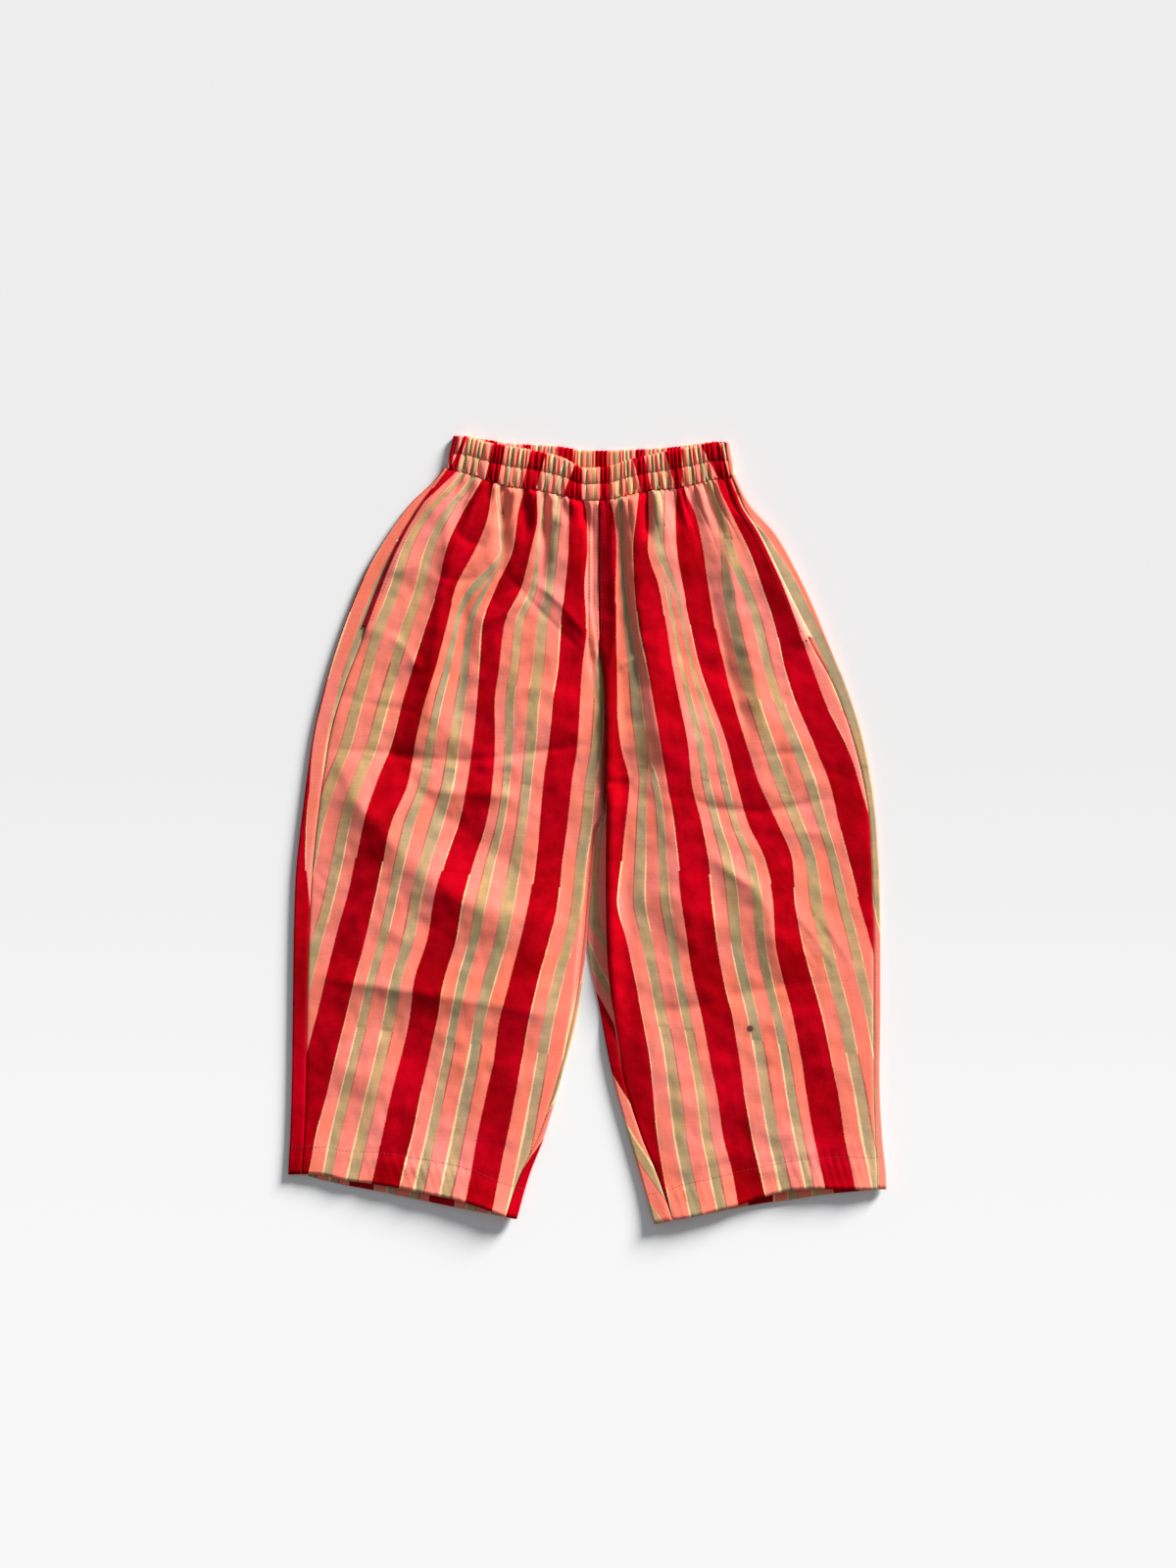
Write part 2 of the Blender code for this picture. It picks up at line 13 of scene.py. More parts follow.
import bpy
import numpy as np
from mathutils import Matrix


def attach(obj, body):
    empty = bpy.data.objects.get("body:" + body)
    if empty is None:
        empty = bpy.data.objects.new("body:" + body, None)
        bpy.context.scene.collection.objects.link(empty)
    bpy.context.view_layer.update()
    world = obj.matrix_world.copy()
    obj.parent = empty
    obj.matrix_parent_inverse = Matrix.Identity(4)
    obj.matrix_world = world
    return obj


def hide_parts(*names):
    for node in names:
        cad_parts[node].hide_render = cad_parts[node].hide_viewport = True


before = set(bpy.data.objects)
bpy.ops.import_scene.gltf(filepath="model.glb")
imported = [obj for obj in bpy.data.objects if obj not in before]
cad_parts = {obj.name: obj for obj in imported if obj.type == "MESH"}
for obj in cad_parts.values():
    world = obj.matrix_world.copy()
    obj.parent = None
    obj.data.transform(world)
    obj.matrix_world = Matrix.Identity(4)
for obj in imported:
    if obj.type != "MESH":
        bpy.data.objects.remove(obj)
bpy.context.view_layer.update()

MM = 0.001
print("nodes:", ", ".join(sorted(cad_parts)))

# %% [markdown]
# ## Curves through measured points
#
# The outline of cloth is measured at a few places and has to run smoothly between them. A
# spline may swing past its points, which would put a bulge in a straight side, so this curve
# is a cubic that never passes the highs and lows of its table.

# %% Smooth curves and blends
def smooth_curve(at, table, column=1):
    """A smooth curve through a table's points: its first column is the place.

    Each stretch is a cubic whose end slopes are the harmonic mean of the two chords that meet
    there, or level where the chords turn back. Past the ends it stays level.
    """
    table = np.asarray(table, float)
    table = table[np.argsort(table[:, 0])]
    known, values = table[:, 0], table[:, column]
    chord = np.diff(values) / np.diff(known)
    before, after = chord[:-1], chord[1:]
    same_way = before * after > 0
    total = np.where(same_way, before + after, 1.0)
    middle = np.where(same_way, 2 * before * after / total, 0.0)
    slope = np.concatenate([chord[:1], middle, chord[-1:]])
    at = np.clip(at, known[0], known[-1])
    i = np.clip(np.searchsorted(known, at) - 1, 0, len(known) - 2)
    span = known[i + 1] - known[i]
    u = (at - known[i]) / span
    return (
        (1 + 2 * u) * (1 - u) ** 2 * values[i]
        + u * (1 - u) ** 2 * span * slope[i]
        + u**2 * (3 - 2 * u) * values[i + 1]
        + u**2 * (u - 1) * span * slope[i + 1]
    )


def blend(start, end, share):
    """start at share 0 and end at share 1, in a straight line."""
    return start + (end - start) * share


def ease(u):
    """0 up to u = 0 and 1 from u = 1, with a smooth S between them."""
    u = np.clip(u, 0.0, 1.0)
    return u * u * (3 - 2 * u)


def bell(distance, width):
    """1 at no distance, falling as exp(-(distance / width)^2)."""
    return np.exp(-((distance / width) ** 2))


# %% [markdown]
# ## The outline
#
# The waistband dips at the centre front, so the inside of the back shows above it. Every leg
# is given at levels down its length: its outer fold, its side seam, its inner fold and its
# inseam. Above the crotch the last two are the centre seams. They are the CAD's numbers, so
# each shell lies on its solid. Only the left leg's inner side near the crotch has moved, by up
# to 5 mm, because the finer cloth tucks in further there.

# %% Waist and legs
WAIST_COLUMNS = ("x", "low", "front_top", "back_low", "back_top")
WAIST = (
    (-162, 404, 438, 404, 441),
    (-138, 399, 440, 402.5, 440),
    (-112, 391, 433, 399, 436),
    (-88, 384, 429, 395, 432),
    (-54, 380, 423, 391.5, 430),
    (-28, 374, 416, 389, 428),
    (-3, 369, 404, 387, 424),
    (22, 370, 406, 386.5, 424),
    (46, 375, 414, 387.5, 425),
    (70, 380, 419, 389, 426),
    (96, 382, 425, 391, 428),
    (120, 387, 429, 393, 431),
    (142, 392, 433, 395, 434),
    (166, 394, 431, 397, 432),
)
LEG_COLUMNS = ("y", "outer_fold", "side_seam", "inner_fold", "inseam")
RIGHT_LEVELS = (
    (410, -158, -153, 12, 12),
    (392, -171, -165, 12, 12),
    (364, -200, -185, 12, 12),
    (331, -224, -205, 12, 12),
    (293, -247, -223, 12, 12),
    (249, -266, -240, 12, 12),
    (205, -282, -256, 13, 13),
    (161, -295, -273, 18, 18),
    (106, -308, -289, 19, 19),
    (51, -316, -298, 19, 19),
    (20, -320, -302, 19, 19),
    (-4, -323, -305, 12, 8),
    (-59, -328, -310, 5, 1),
    (-125, -330, -313, -1, -5),
    (-202, -331, -315, -11, -15),
    (-279, -332, -316, -30, -34),
    (-345, -334, -318, -49, -56),
    (-389, -336, -321, -66, -77),
    (-445, -336, -321, -82, -96),
)
LEFT_LEVELS = (
    (400, 163, 158, 12, 12),
    (386, 169, 163, 12, 12),
    (364, 181, 171, 12, 12),
    (331, 210, 191, 12, 12),
    (293, 232, 209, 12, 12),
    (249, 253, 229, 12, 12),
    (205, 271, 251, 13, 13),
    (161, 289, 275, 18, 18),
    (106, 307, 295, 19, 19),
    (51, 318, 309, 19, 19),
    (20, 322, 314, 19, 20.5),
    (-4, 324, 316, 12, 20),
    (-59, 327, 318, 5, 19.6),
    (-125, 328, 320, -0.5, 20.5),
    (-202, 328, 320, 13, 27),
    (-279, 327, 320, 28, 40),
    (-345, 330, 322, 46, 60),
    (-389, 334, 324, 59, 78),
    (-445, 335, 324, 75, 97),
)
HEM_COLUMNS = ("x", "front", "back")
RIGHT_HEM = (
    (-337, -387, -387),
    (-321, -386, -388),
    (-300, -387, -393),
    (-273, -393, -399),
    (-240, -397, -405),
    (-209, -402, -411),
    (-185, -407, -416),
    (-150, -414, -423),
    (-120, -423, -429),
    (-93, -433, -434),
    (-79, -436, -436),
)
LEFT_HEM = (
    (73, -442, -442),
    (97, -437, -438),
    (123, -432, -433),
    (170, -420, -424),
    (198, -411, -419),
    (229, -404, -415),
    (259, -402, -410),
    (297, -403, -406),
    (336, -403, -403),
)
RIGHT = {"side": -1, "levels": RIGHT_LEVELS, "hem": RIGHT_HEM}
LEFT = {"side": 1, "levels": LEFT_LEVELS, "hem": LEFT_HEM}


def waist_line(name, x):
    """y of one of the waist's lines at x."""
    return smooth_curve(x, WAIST, WAIST_COLUMNS.index(name))


def leg_line(leg, name, y):
    """x of one of a leg's lines at y."""
    return smooth_curve(y, leg["levels"], LEG_COLUMNS.index(name))


def hem_line(leg, name, x):
    """y of the upper or the lower layer's hem at x."""
    return smooth_curve(x, leg["hem"], HEM_COLUMNS.index(name))


for word, leg in (("right", RIGHT), ("left", LEFT)):
    width = abs(leg_line(leg, "outer_fold", -300.0) - leg_line(leg, "inner_fold", -300.0))
    print(f"{word} leg: {width:.0f} mm wide at y = -300")

# %% [markdown]
# ## Where the cloth rises and sinks
#
# A flat-laid garment is never quite flat. The sides roll over with the radius of two layers of
# soft cotton, the middle of a leg stands a little higher, the gathers push up deep folds that
# fan out below the waist, and the hem is one layer thicker. A simulation would find folds of
# its own, but these have to be the real ones, so each is placed one by one: a bell across its
# line, which fades towards the line's ends.

# %% Rolls, puff and hem
FOLD_RADIUS = 2.7  # of the roll along a leg's side
WAIST_FOLD_RADIUS = 3.5  # of the same roll where it reaches the waistband
WAIST_FOLD_REACH = 50.0
ROLL_SQUARENESS = 0.6  # 1 makes a round roll, and less a squarer one
PUFF = 1.9  # how much the middle of a leg rises over its folded sides
PUFF_REACH = 38.0
GATHER_LIFT = 3.2  # how much the gathered cloth rises under the waistband
GATHER_REACH = 60.0
HEM_DEPTH = 32.0  # of the turned-up hem
HEM_EDGE = 5.0
HEM_STEP = 0.9
CROTCH_Y = 20.0
CROTCH_REACH = 12.0
LOWEST_TOP = 1.6  # the upper layer stays this far over the surface
FLOOR_SOFTNESS = 0.35


def roll_reach(angle):
    """How far round its half circle a roll stands out: a pressed fold is squarer than a circle."""
    return np.abs(np.sin(angle)) ** ROLL_SQUARENESS


def fold_radius(y):
    """The side roll's radius, which grows towards the waistband."""
    below_waist = np.maximum(waist_line("low", 0.0) - y, 0.0)
    return blend(FOLD_RADIUS, WAIST_FOLD_RADIUS, np.exp(-below_waist / WAIST_FOLD_REACH))


print(f"side rolls: radius {fold_radius(-300.0):.1f} mm, {fold_radius(370.0):.1f} at the waist")

# %% Gather folds that run down from the waist
TROUGH_SPREAD = 0.6  # how much wider a fold is at its end
TROUGH_HOLD = 1.3  # over 1, a fold keeps its whole depth for a while before it fades
TROUGH_DEPTH = 2.3  # times the depth of the CAD's, which has a thicker wall to keep apart
# x at the waist, x and y where the fold fades, its depth and its width
RIGHT["troughs"] = (
    (-142, -163, 325, 1.6, 5),
    (-129, -158, 310, 2.2, 6),
    (-108, -116, 335, 2.0, 5),
    (-94, -97, 275, 3.6, 6),
    (-71, -66, 300, 2.4, 6),
    (-48, -50, 262, 3.4, 5),
    (-29, -26, 340, 2.2, 5),
    (-4, 1, 318, 3.4, 4),
)
LEFT["troughs"] = (
    (24, 28, 325, 1.6, 5),
    (66, 68, 312, 3.4, 5),
    (88, 92, 335, 2.2, 5),
    (97, 104, 295, 2.6, 6),
    (113, 126, 320, 2.2, 6),
    (131, 158, 300, 2.8, 6),
    (147, 178, 318, 1.8, 5),
)


def trough_depths(leg, x, y):
    """The sum of the gather folds: bells across lines that fan out and fade down the leg."""
    waist_y = waist_line("low", x)
    total = np.zeros_like(x)
    for x_top, x_end, y_end, depth, width in leg["troughs"]:
        down = np.clip((waist_y - y) / (waist_y - y_end), 0.0, 1.0)
        centre = blend(x_top, x_end, down)
        spread = width * (1 + TROUGH_SPREAD * down)
        total += depth * ease(TROUGH_HOLD * (1 - down)) * bell(x - centre, spread)
    return TROUGH_DEPTH * total


print("gather folds:", len(RIGHT["troughs"]), "on the right leg,", len(LEFT["troughs"]), "left")

# %% The lap, where each leg's cloth sinks to the centre seam
# y and x along the edge that the cloth sinks from
RIGHT["lap"] = ((380, 4), (256, 4), (202, 11), (161, 24))
LEFT["lap"] = ((380, 37), (295, 42), (241, 50), (187, 61), (161, 68))
LAP_DROP = 2.6
LAP_WIDTH = 4.0  # over which the cloth sinks
LAP_END_Y = 150.0
LAP_FADE = 60.0  # above its end


def lap_depth(leg, x, y):
    """How far the cloth sinks between the lap's edge and the centre seam."""
    past_edge = -leg["side"] * (x - smooth_curve(y, leg["lap"])) / LAP_WIDTH
    return LAP_DROP * ease((y - LAP_END_Y) / LAP_FADE) * ease(past_edge + 0.5)


# %% [markdown]
# ## Creases
#
# The trousers were folded for storage and then handled, so they have sharp storage creases
# across the legs, broad soft ridges where the cloth has spare width, and small handling marks.
# A noise texture could not put them where they are. So this is a table with a row for each
# crease, read off the light and shade of the real one: its path, its height, how far it
# spreads on each side and how round its crest is. A one-sided crease is steep on one side, and
# catches the light there.

# %% Creases
CREASE_FADE = (16.0, 60.0)  # the shortest and the longest stretch over which an end fades
CREASE_FADE_SHARE = 0.35  # of the crease's length
CREASE_END = 0.4  # how much of its height is left where the path ends
CREASE_SCALE = 1.5
# a crease's path of x and y points, its height in the middle (below zero for a trough), how
# wide it is on its low or left side and on its high or right side, and how round its crest is
RIGHT["creases"] = (
    (((-1, 375), (0, 315), (0, 227), (7, 161)), -2.6, 3, 18, 1),
    (((-220, 80), (-165, 20), (-105, -28), (-58, -62)), -1.6, 14, 12, 4),
    (((-156, 375), (-158, 315), (-165, 249), (-175, 172), (-178, 111)), 3.0, 12, 16, 4),
    (((-226, 287), (-198, 293), (-170, 315)), 1.5, 6, 14, 3),
    (((-118, 388), (-133, 350), (-150, 315), (-158, 275)), 2.6, 6, 14, 2),
    (((-150, 335), (-135, 322), (-118, 318)), -1.4, 5, 8, 1),
    (((-170, 285), (-150, 278), (-128, 281)), -1.4, 5, 8, 1),
    (((-139, 271), (-141, 205), (-145, 117)), -2.0, 12, 10, 4),
    (((-127, 224), (-88, 246), (-55, 265)), 2.2, 8, 12, 2),
    (((-110, 257), (-77, 273), (-44, 298)), -1.8, 8, 8, 2),
    (((-57, 275), (-28, 249), (4, 210)), 2.0, 6, 14, 1.0),
    (((-88, 282), (-55, 246), (-11, 202)), -0.8, 3, 3, 0.5),
    (((-280, 152), (-242, 140), (-204, 134), (-176, 119)), -0.8, 6, 4, 0.6),
    (((-226, 221), (-207, 205), (-187, 177)), 1.5, 14, 5, 2),
    (((-310, 88), (-275, 88), (-220, 84), (-143, 77), (-88, 82), (0, 95)), -1.8, 8, 8, 0.8),
    (((-229, 87), (-198, 77), (-168, 67)), -1.2, 4, 7, 0.8),
    (
        ((-280, 62), (-253, 23), (-220, -15), (-176, -52), (-132, -84), (-77, -103), (-35, -90)),
        6.3, 42, 32, 9,
    ),
    (((-198, 47), (-154, 42), (-82, 37)), 2.0, 10, 10, 2),
    (((-121, 69), (-77, 73)), 1.2, 10, 8, 2),
    (
        ((-300, -166), (-220, -178), (-165, -186), (-110, -196), (-55, -207), (-25, -214)),
        4.4, 18, 28, 0.7,
    ),
    (((-66, -279), (-33, -288)), 1.0, 10, 8, 3),
    (((-310, -43), (-290, -65)), -0.8, 2.5, 2.5, 0.5),
    (((-312, -65), (-293, -84)), -0.6, 2.5, 2.5, 0.5),
    (((-275, -285), (-248, -255), (-220, -230)), 0.6, 5, 5, 2),
    (((-319, -252), (-292, -274)), 0.7, 3, 3, 0.6),
)
LEFT["creases"] = (
    (((-1, 375), (0, 315), (0, 227), (7, 161)), -2.6, 3, 18, 1),
    (((26, 375), (28, 293), (30, 227), (24, 172)), 1.8, 6, 5, 1.5),
    (((36, 359), (40, 293), (47, 227), (54, 183), (58, 150)), -2.3, 7, 9, 1.6),
    (((53, 381), (51, 315), (57, 249), (70, 161), (84, 80)), 5.2, 15, 38, 4),
    (((76, 130), (88, 60), (103, -37), (116, -125)), 3.0, 26, 34, 9),
    (((66, 381), (66, 328)), -3.0, 4, 4, 1),
    (((112, 381), (122, 337), (133, 282), (146, 227), (163, 161), (178, 111)), -2.2, 12, 14, 3),
    (((146, 381), (152, 337), (161, 282), (174, 216), (188, 161), (197, 111)), 2.0, 12, 12, 3),
    (((146, 381), (160, 356), (193, 339)), 2.0, 8, 6, 1.5),
    (((220, 315), (233, 249), (244, 183)), 2.0, 25, 10, 6),
    (((31, 178), (44, 188), (59, 196)), 1.6, 3, 3, 0.6),
    (((182, 80), (209, 84), (244, 86)), -0.8, 4, 3, 0.5),
    (((110, 37), (143, 24), (193, 20), (226, 25), (273, 35)), -2.0, 10, 6, 0.5),
    (((134, -24), (160, -48), (187, -68), (205, -109), (211, -153)), 3.0, 20, 14, 3),
    (((270, 64), (308, 51)), -1.2, 5, 5, 1),
    (((312, 51), (315, -37)), 1.5, 12, 4, 2),
    (((20, 52), (47, 51)), -1.8, 1.5, 1.5, 0.4),
    (((22, 58), (51, 62)), 0.8, 4, 4, 1),
    (((35, -84), (66, -103), (110, -131)), -1.8, 24, 16, 3),
    (((61, -206), (110, -200), (160, -189), (220, -176), (286, -167)), -1.6, 12, 10, 0.7),
    (((88, -299), (132, -310), (182, -301)), 1.6, 12, 18, 5),
    (((99, -385), (138, -372), (182, -359)), 0.8, 3, 3, 0.5),
    (((182, -367), (231, -365), (275, -356), (324, -348)), 0.8, 3, 3, 0.5),
    (((207, -343), (253, -338)), 0.6, 2.5, 2.5, 0.5),
    (((226, -87), (248, -114), (275, -153)), 0.7, 3, 3, 0.5),
    (((244, -87), (273, -128)), -0.6, 3, 3, 0.5),
    (((264, -103), (295, -153)), 0.6, 3, 3, 0.5),
    (((237, -120), (258, -153)), -0.6, 3, 3, 0.5),
    (((220, -4), (273, -4)), 0.9, 6, 5, 1),
)


def crease_heights(leg, x, y):
    """The sum of the creases: across its path each falls as exp(-distance / width).

    A path runs mostly across or mostly down the picture. The distance is smoothed near the
    crest by its roundness, and the height fades out at both ends.
    """
    total = np.zeros_like(x)
    for path, height, low_width, high_width, crest in leg["creases"]:
        points = np.asarray(path, float)
        span_x, span_y = np.ptp(points, axis=0)
        across_picture = span_x > span_y
        along, beside = (x, y) if across_picture else (y, x)
        line = smooth_curve(along, points if across_picture else points[:, ::-1])
        length = max(span_x, span_y)
        off = (beside - line) * length / np.hypot(span_x, span_y)
        width = np.where(off < 0, low_width, high_width)
        fade = np.clip(CREASE_FADE_SHARE * length, *CREASE_FADE)
        start = points[:, 0 if across_picture else 1].min()
        grown = ease((along - start) / fade + CREASE_END)
        ends = grown * ease((start + length - along) / fade + CREASE_END)
        total += height * ends * np.exp(-(np.hypot(off, crest) - crest) / width)
    return CREASE_SCALE * total


print("creases:", len(RIGHT["creases"]), "on the right leg,", len(LEFT["creases"]), "on the left")

# %% [markdown]
# ## Soft waves
#
# Between its creases, handled cotton is never smooth: it has low waves of every length. Here
# they are a sum of plane sine waves in all directions, whose lengths, directions and phases
# are drawn from a fixed seed, so each run gives the same cloth. A noise texture in a Displace
# modifier would do as well, but the stitches and the under layer have to read the same waves.

# %% Soft waves of handled cotton
WAVE_SEED = 7
WAVE_SPREAD = (0.7, 1.4)  # the shortest and the longest wave of a sum, in mean lengths
WAVES = (  # mean length of the waves, height and how many are summed
    (110.0, 0.60, 14),
    (40.0, 0.32, 22),
    (18.0, 0.12, 24),
    (9.0, 0.03, 24),
)


def cloth_waves(x, y):
    """A sum of plane waves whose directions, lengths and phases are drawn from a fixed seed."""
    random = np.random.default_rng(WAVE_SEED)
    total = np.zeros_like(x)
    for length, height, count in WAVES:
        for _ in range(count):
            turn = random.uniform(0, np.pi)
            pitch = length * random.uniform(*WAVE_SPREAD)
            phase = random.uniform(0, 2 * np.pi)
            place = (x * np.cos(turn) + y * np.sin(turn)) / pitch
            total += height * np.sqrt(2 / count) * np.sin(2 * np.pi * place + phase)
    return total


print("soft waves:", sum(count for _, _, count in WAVES))

# %% [markdown]
# ## The gap and the hems
#
# Round the crotch the cloth of both legs dives out of sight into a deep dark gap, and the left
# leg stands over it with a raised lip, which throws the shadow. The gap is a smooth step at
# the inseam, less a bell for the lip, and it fades out up and down the leg. The hems, stiff
# with their doubled edge, curl up off the surface, more in the middle than at the sides, and
# both layers rise with them.

# %% The gap between the legs
# how deep each leg's cloth dives at its inseam, from how far before the seam to how far past
# it, and the height of the lip that stands beside it
RIGHT["gap"] = {"depth": 7.0, "before": 6.0, "past": 0.0, "lip": 0.0}
LEFT["gap"] = {"depth": 12.0, "before": 1.5, "past": 2.0, "lip": 7.0}
GAP_TOP_Y, GAP_BOTTOM_Y = 230.0, -250.0
GAP_FADE = 110.0
LIP_PLACE, LIP_WIDTH = 5.0, 10.0  # the lip's crest, back from the seam, and its spread


def gap_depth(leg, x, y):
    """How far the cloth dives towards the deep gap round the crotch, less the lip beside it."""
    gap = leg["gap"]
    length = ease((GAP_TOP_Y - y) / GAP_FADE) * ease((y - GAP_BOTTOM_Y) / GAP_FADE)
    past_seam = leg["side"] * (leg_line(leg, "inseam", y) - x)
    dive = gap["depth"] * ease((past_seam + gap["before"]) / (gap["before"] + gap["past"]))
    return length * (dive - gap["lip"] * bell(past_seam + LIP_PLACE, LIP_WIDTH))


# %% The hem, which curls up off the surface
HEM_CURL_REACH = 26.0
# x along the hem, and how far the hem stands over the surface there
RIGHT["hem_curl"] = ((-336, 0.5), (-290, 1.5), (-210, 4.0), (-130, 7.5), (-95, 7.0), (-79, 5.0))
LEFT["hem_curl"] = ((73, 4.0), (110, 5.5), (180, 4.0), (250, 4.5), (300, 5.5), (336, 2.5))


def hem_curl(leg, x, y):
    """How far both layers rise towards the hem."""
    from_hem = np.maximum(y - hem_line(leg, "back", x), 0.0)
    return smooth_curve(x, leg["hem_curl"]) * np.exp(-from_hem / HEM_CURL_REACH)


for word, leg in (("right", RIGHT), ("left", LEFT)):
    deepest_x = leg_line(leg, "inseam", -10.0) - leg["side"] * leg["gap"]["past"]
    print(f"{word} leg: sinks {gap_depth(leg, deepest_x, -10.0):.1f} mm into the gap at y = -10")

# %% The hem's layers and puckers
HEM_PUCKERS = 0.2  # height of the small ripples that the hem's stitches pull up
HEM_PUCKER_PITCH = 9.5
HEM_PUCKER_SLANT = 0.35
HEM_PUCKER_SWAY = (3.0, 23.0)  # how far the ripples stray from an even pitch, and how often
HEM_PUCKER_FADE = (0.6, 37.0)  # how far they swell and fade along the hem, and how often
HEM_PUCKER_REACH = 12.0  # past the row of stitches


def hem_rise(x, from_hem):
    """How much the turned-up hem lifts the upper layer: its second layer and slanted ripples."""
    in_hem = ease((HEM_DEPTH - from_hem) / HEM_EDGE + 0.5)
    sway, sway_reach = HEM_PUCKER_SWAY
    slanted = x + HEM_PUCKER_SLANT * from_hem + sway * np.sin(x / sway_reach)
    ripples = np.sin(2 * np.pi * slanted / HEM_PUCKER_PITCH)
    swell, swell_reach = HEM_PUCKER_FADE
    uneven = swell + swell * np.sin(x / swell_reach)
    near_stitches = uneven * (in_hem + bell(from_hem - HEM_DEPTH, HEM_PUCKER_REACH))
    return HEM_STEP * in_hem + HEM_PUCKERS * near_stitches * ripples


# %% [markdown]
# ## One height for everything
#
# All of these meet in one function of x and y. Front panel, side rolls, facings and stitches
# read it, so they touch without fitting. The folds are multiplied by a rise that is nothing at
# the side rolls, so no crease runs over the edge. A soft maximum keeps the upper layer off the
# lower one: the logarithm of a sum of exponentials, which follows the larger of two numbers
# and rounds the corner between them.

# %% The whole height
def top_height(leg, x, y):
    """Height of the upper layer over the surface.

    It starts at the side rolls' height, rises to the middle of the leg, and takes the gathers,
    the lap beside the centre seam, the creases and the waves. A soft floor keeps it off the
    lower layer.
    """
    radius = fold_radius(y)
    from_outer = -leg["side"] * (x - leg_line(leg, "outer_fold", y)) - radius
    from_inner = leg["side"] * (x - leg_line(leg, "inner_fold", y)) - radius
    below_crotch = ease((CROTCH_Y + CROTCH_REACH - y) / (4 * CROTCH_REACH))
    rise_out = 1 - np.exp(-np.maximum(from_outer, 0.0) / PUFF_REACH)
    rise_in = 1 - below_crotch * np.exp(-np.maximum(from_inner, 0.0) / PUFF_REACH)
    below_waist = np.maximum(waist_line("low", x) - y, 0.0)
    gather_lift = GATHER_LIFT * np.exp(-below_waist / GATHER_REACH)
    rise = rise_out * rise_in
    height = 2 * radius + (PUFF + gather_lift) * rise
    folds = crease_heights(leg, x, y) - trough_depths(leg, x, y) - lap_depth(leg, x, y)
    height += rise * (folds + cloth_waves(x, y))
    height += rise * hem_rise(x, y - hem_line(leg, "front", x))
    height += hem_curl(leg, x, y) - gap_depth(leg, x, y)
    over_floor = (height - LOWEST_TOP) / FLOOR_SOFTNESS
    return LOWEST_TOP + FLOOR_SOFTNESS * np.logaddexp(0.0, over_floor)


for word, leg, x in (("right", RIGHT, -200.0), ("left", LEFT, 200.0)):
    print(f"{word} leg: the upper layer is {top_height(leg, x, -100.0):.1f} mm high at y = -100")

# %% [markdown]
# ## Gathers
#
# Where elastic draws cloth together, the spare width stands up in many small ridges with
# narrow valleys between them. The real ones are uneven, so the ridges are an absolute sine,
# which has sharp valleys and round tops, over a phase that runs a little fast and slow. The
# casing and the panels read the same ridges, and so they meet without a step.

# %% Ridges of the gathers
FINE_GATHERS = 60  # narrow ridges, in the upper channel and along the stitches
WIDE_GATHERS = 35  # wider puffs, in the lower channel
CASING_ENDS = ((-159.0, -151.0), (164.5, 158.0))  # x of each side, at the bottom and at the top
GATHER_SPAN = CASING_ENDS[1][0] - CASING_ENDS[0][0]
# how far the ridges run fast and slow, in shares of the span, with the waves' count and start
GATHER_DRIFT = ((0.0032, 11, 1.0), (0.0022, 17, 2.3), (0.0013, 29, 0.4))
RIDGE_POWER = 0.6
RIDGE_DEPTH = 0.70  # of the valleys, which are up to 0.30 deeper or shallower
RIDGE_VARIATION = 0.30
PINCH_HEIGHT = 6.6  # of a ridge in a row of stitches
PINCH_DEPTH = 2.6
PUFF_OFFSET = 0.003  # share of the span by which the wide puffs sit off the fine ridges
SCALLOP = 2.4  # how far a puff pushes the cloth under it down
SCALLOP_REACH = 6.0
FLY_X = 7.0  # the flat, hardly gathered middle of the front
FLY_HALF_WIDTH = 7.5
FLY_FLATNESS = 0.9


def gather_share(x):
    """Where x lies along the bottom of the casing: 0 at one side and 1 at the other."""
    return (x - CASING_ENDS[0][0]) / GATHER_SPAN


def gather_ridges(share, count=FINE_GATHERS, flat_fly=True):
    """1 on top of a ridge and near 0 in a deep valley: |sin(pi phase)| to a power under 1."""
    turn = 2 * np.pi * share
    drift = sum(size * np.sin(waves * turn + start) for size, waves, start in GATHER_DRIFT)
    phase = count * (share + drift)
    varied = np.sin(9.3 * turn + 1.1) * np.sin(0.31 * count * turn + 0.6)
    depth = RIDGE_DEPTH + RIDGE_VARIATION * varied
    if flat_fly:
        from_fly = (share - gather_share(FLY_X)) * GATHER_SPAN / FLY_HALF_WIDTH
        depth = depth * (1 - FLY_FLATNESS * np.exp(-(from_fly**4)))
    return 1 - depth * (1 - np.abs(np.sin(np.pi * phase)) ** RIDGE_POWER)


def scallop(share, below):
    """How far a puff pushes the seam under the casing towards the hem."""
    puffs = gather_ridges(share + PUFF_OFFSET, WIDE_GATHERS)
    return SCALLOP * (puffs - 0.5) * np.exp(-below / SCALLOP_REACH)


def pinch_height(share):
    """Height of the cloth along the stitches at the bottom of the casing."""
    return PINCH_HEIGHT - PINCH_DEPTH * (1 - gather_ridges(share))


print(f"gathers: {FINE_GATHERS} on {GATHER_SPAN:.0f} mm of elastic")

# %% [markdown]
# ## Grids that become cloth
#
# Each piece is a grid of points, worked out as whole arrays: one parameter runs across the
# cloth and the other down it. The grid goes into a mesh with its UV map, which says where each
# point lies on the flat cloth, in metres, so that the print bends with the folds. Solidify
# then gives the sheet its thickness, away from the visible face.

# %% Grid to mesh
CLOTH_WALL = 0.5
PRINT_REPEAT = 104.0  # from one red stripe to the next


def steps_across(count):
    """A row of count + 1 places from 0 to 1."""
    return np.linspace(0, 1, count + 1)[None, :]


def steps_down(count, power=1.0):
    """A column of count + 1 places from 0 to 1; a power over 1 crowds them at the start."""
    return (np.linspace(0, 1, count + 1) ** power)[:, None]


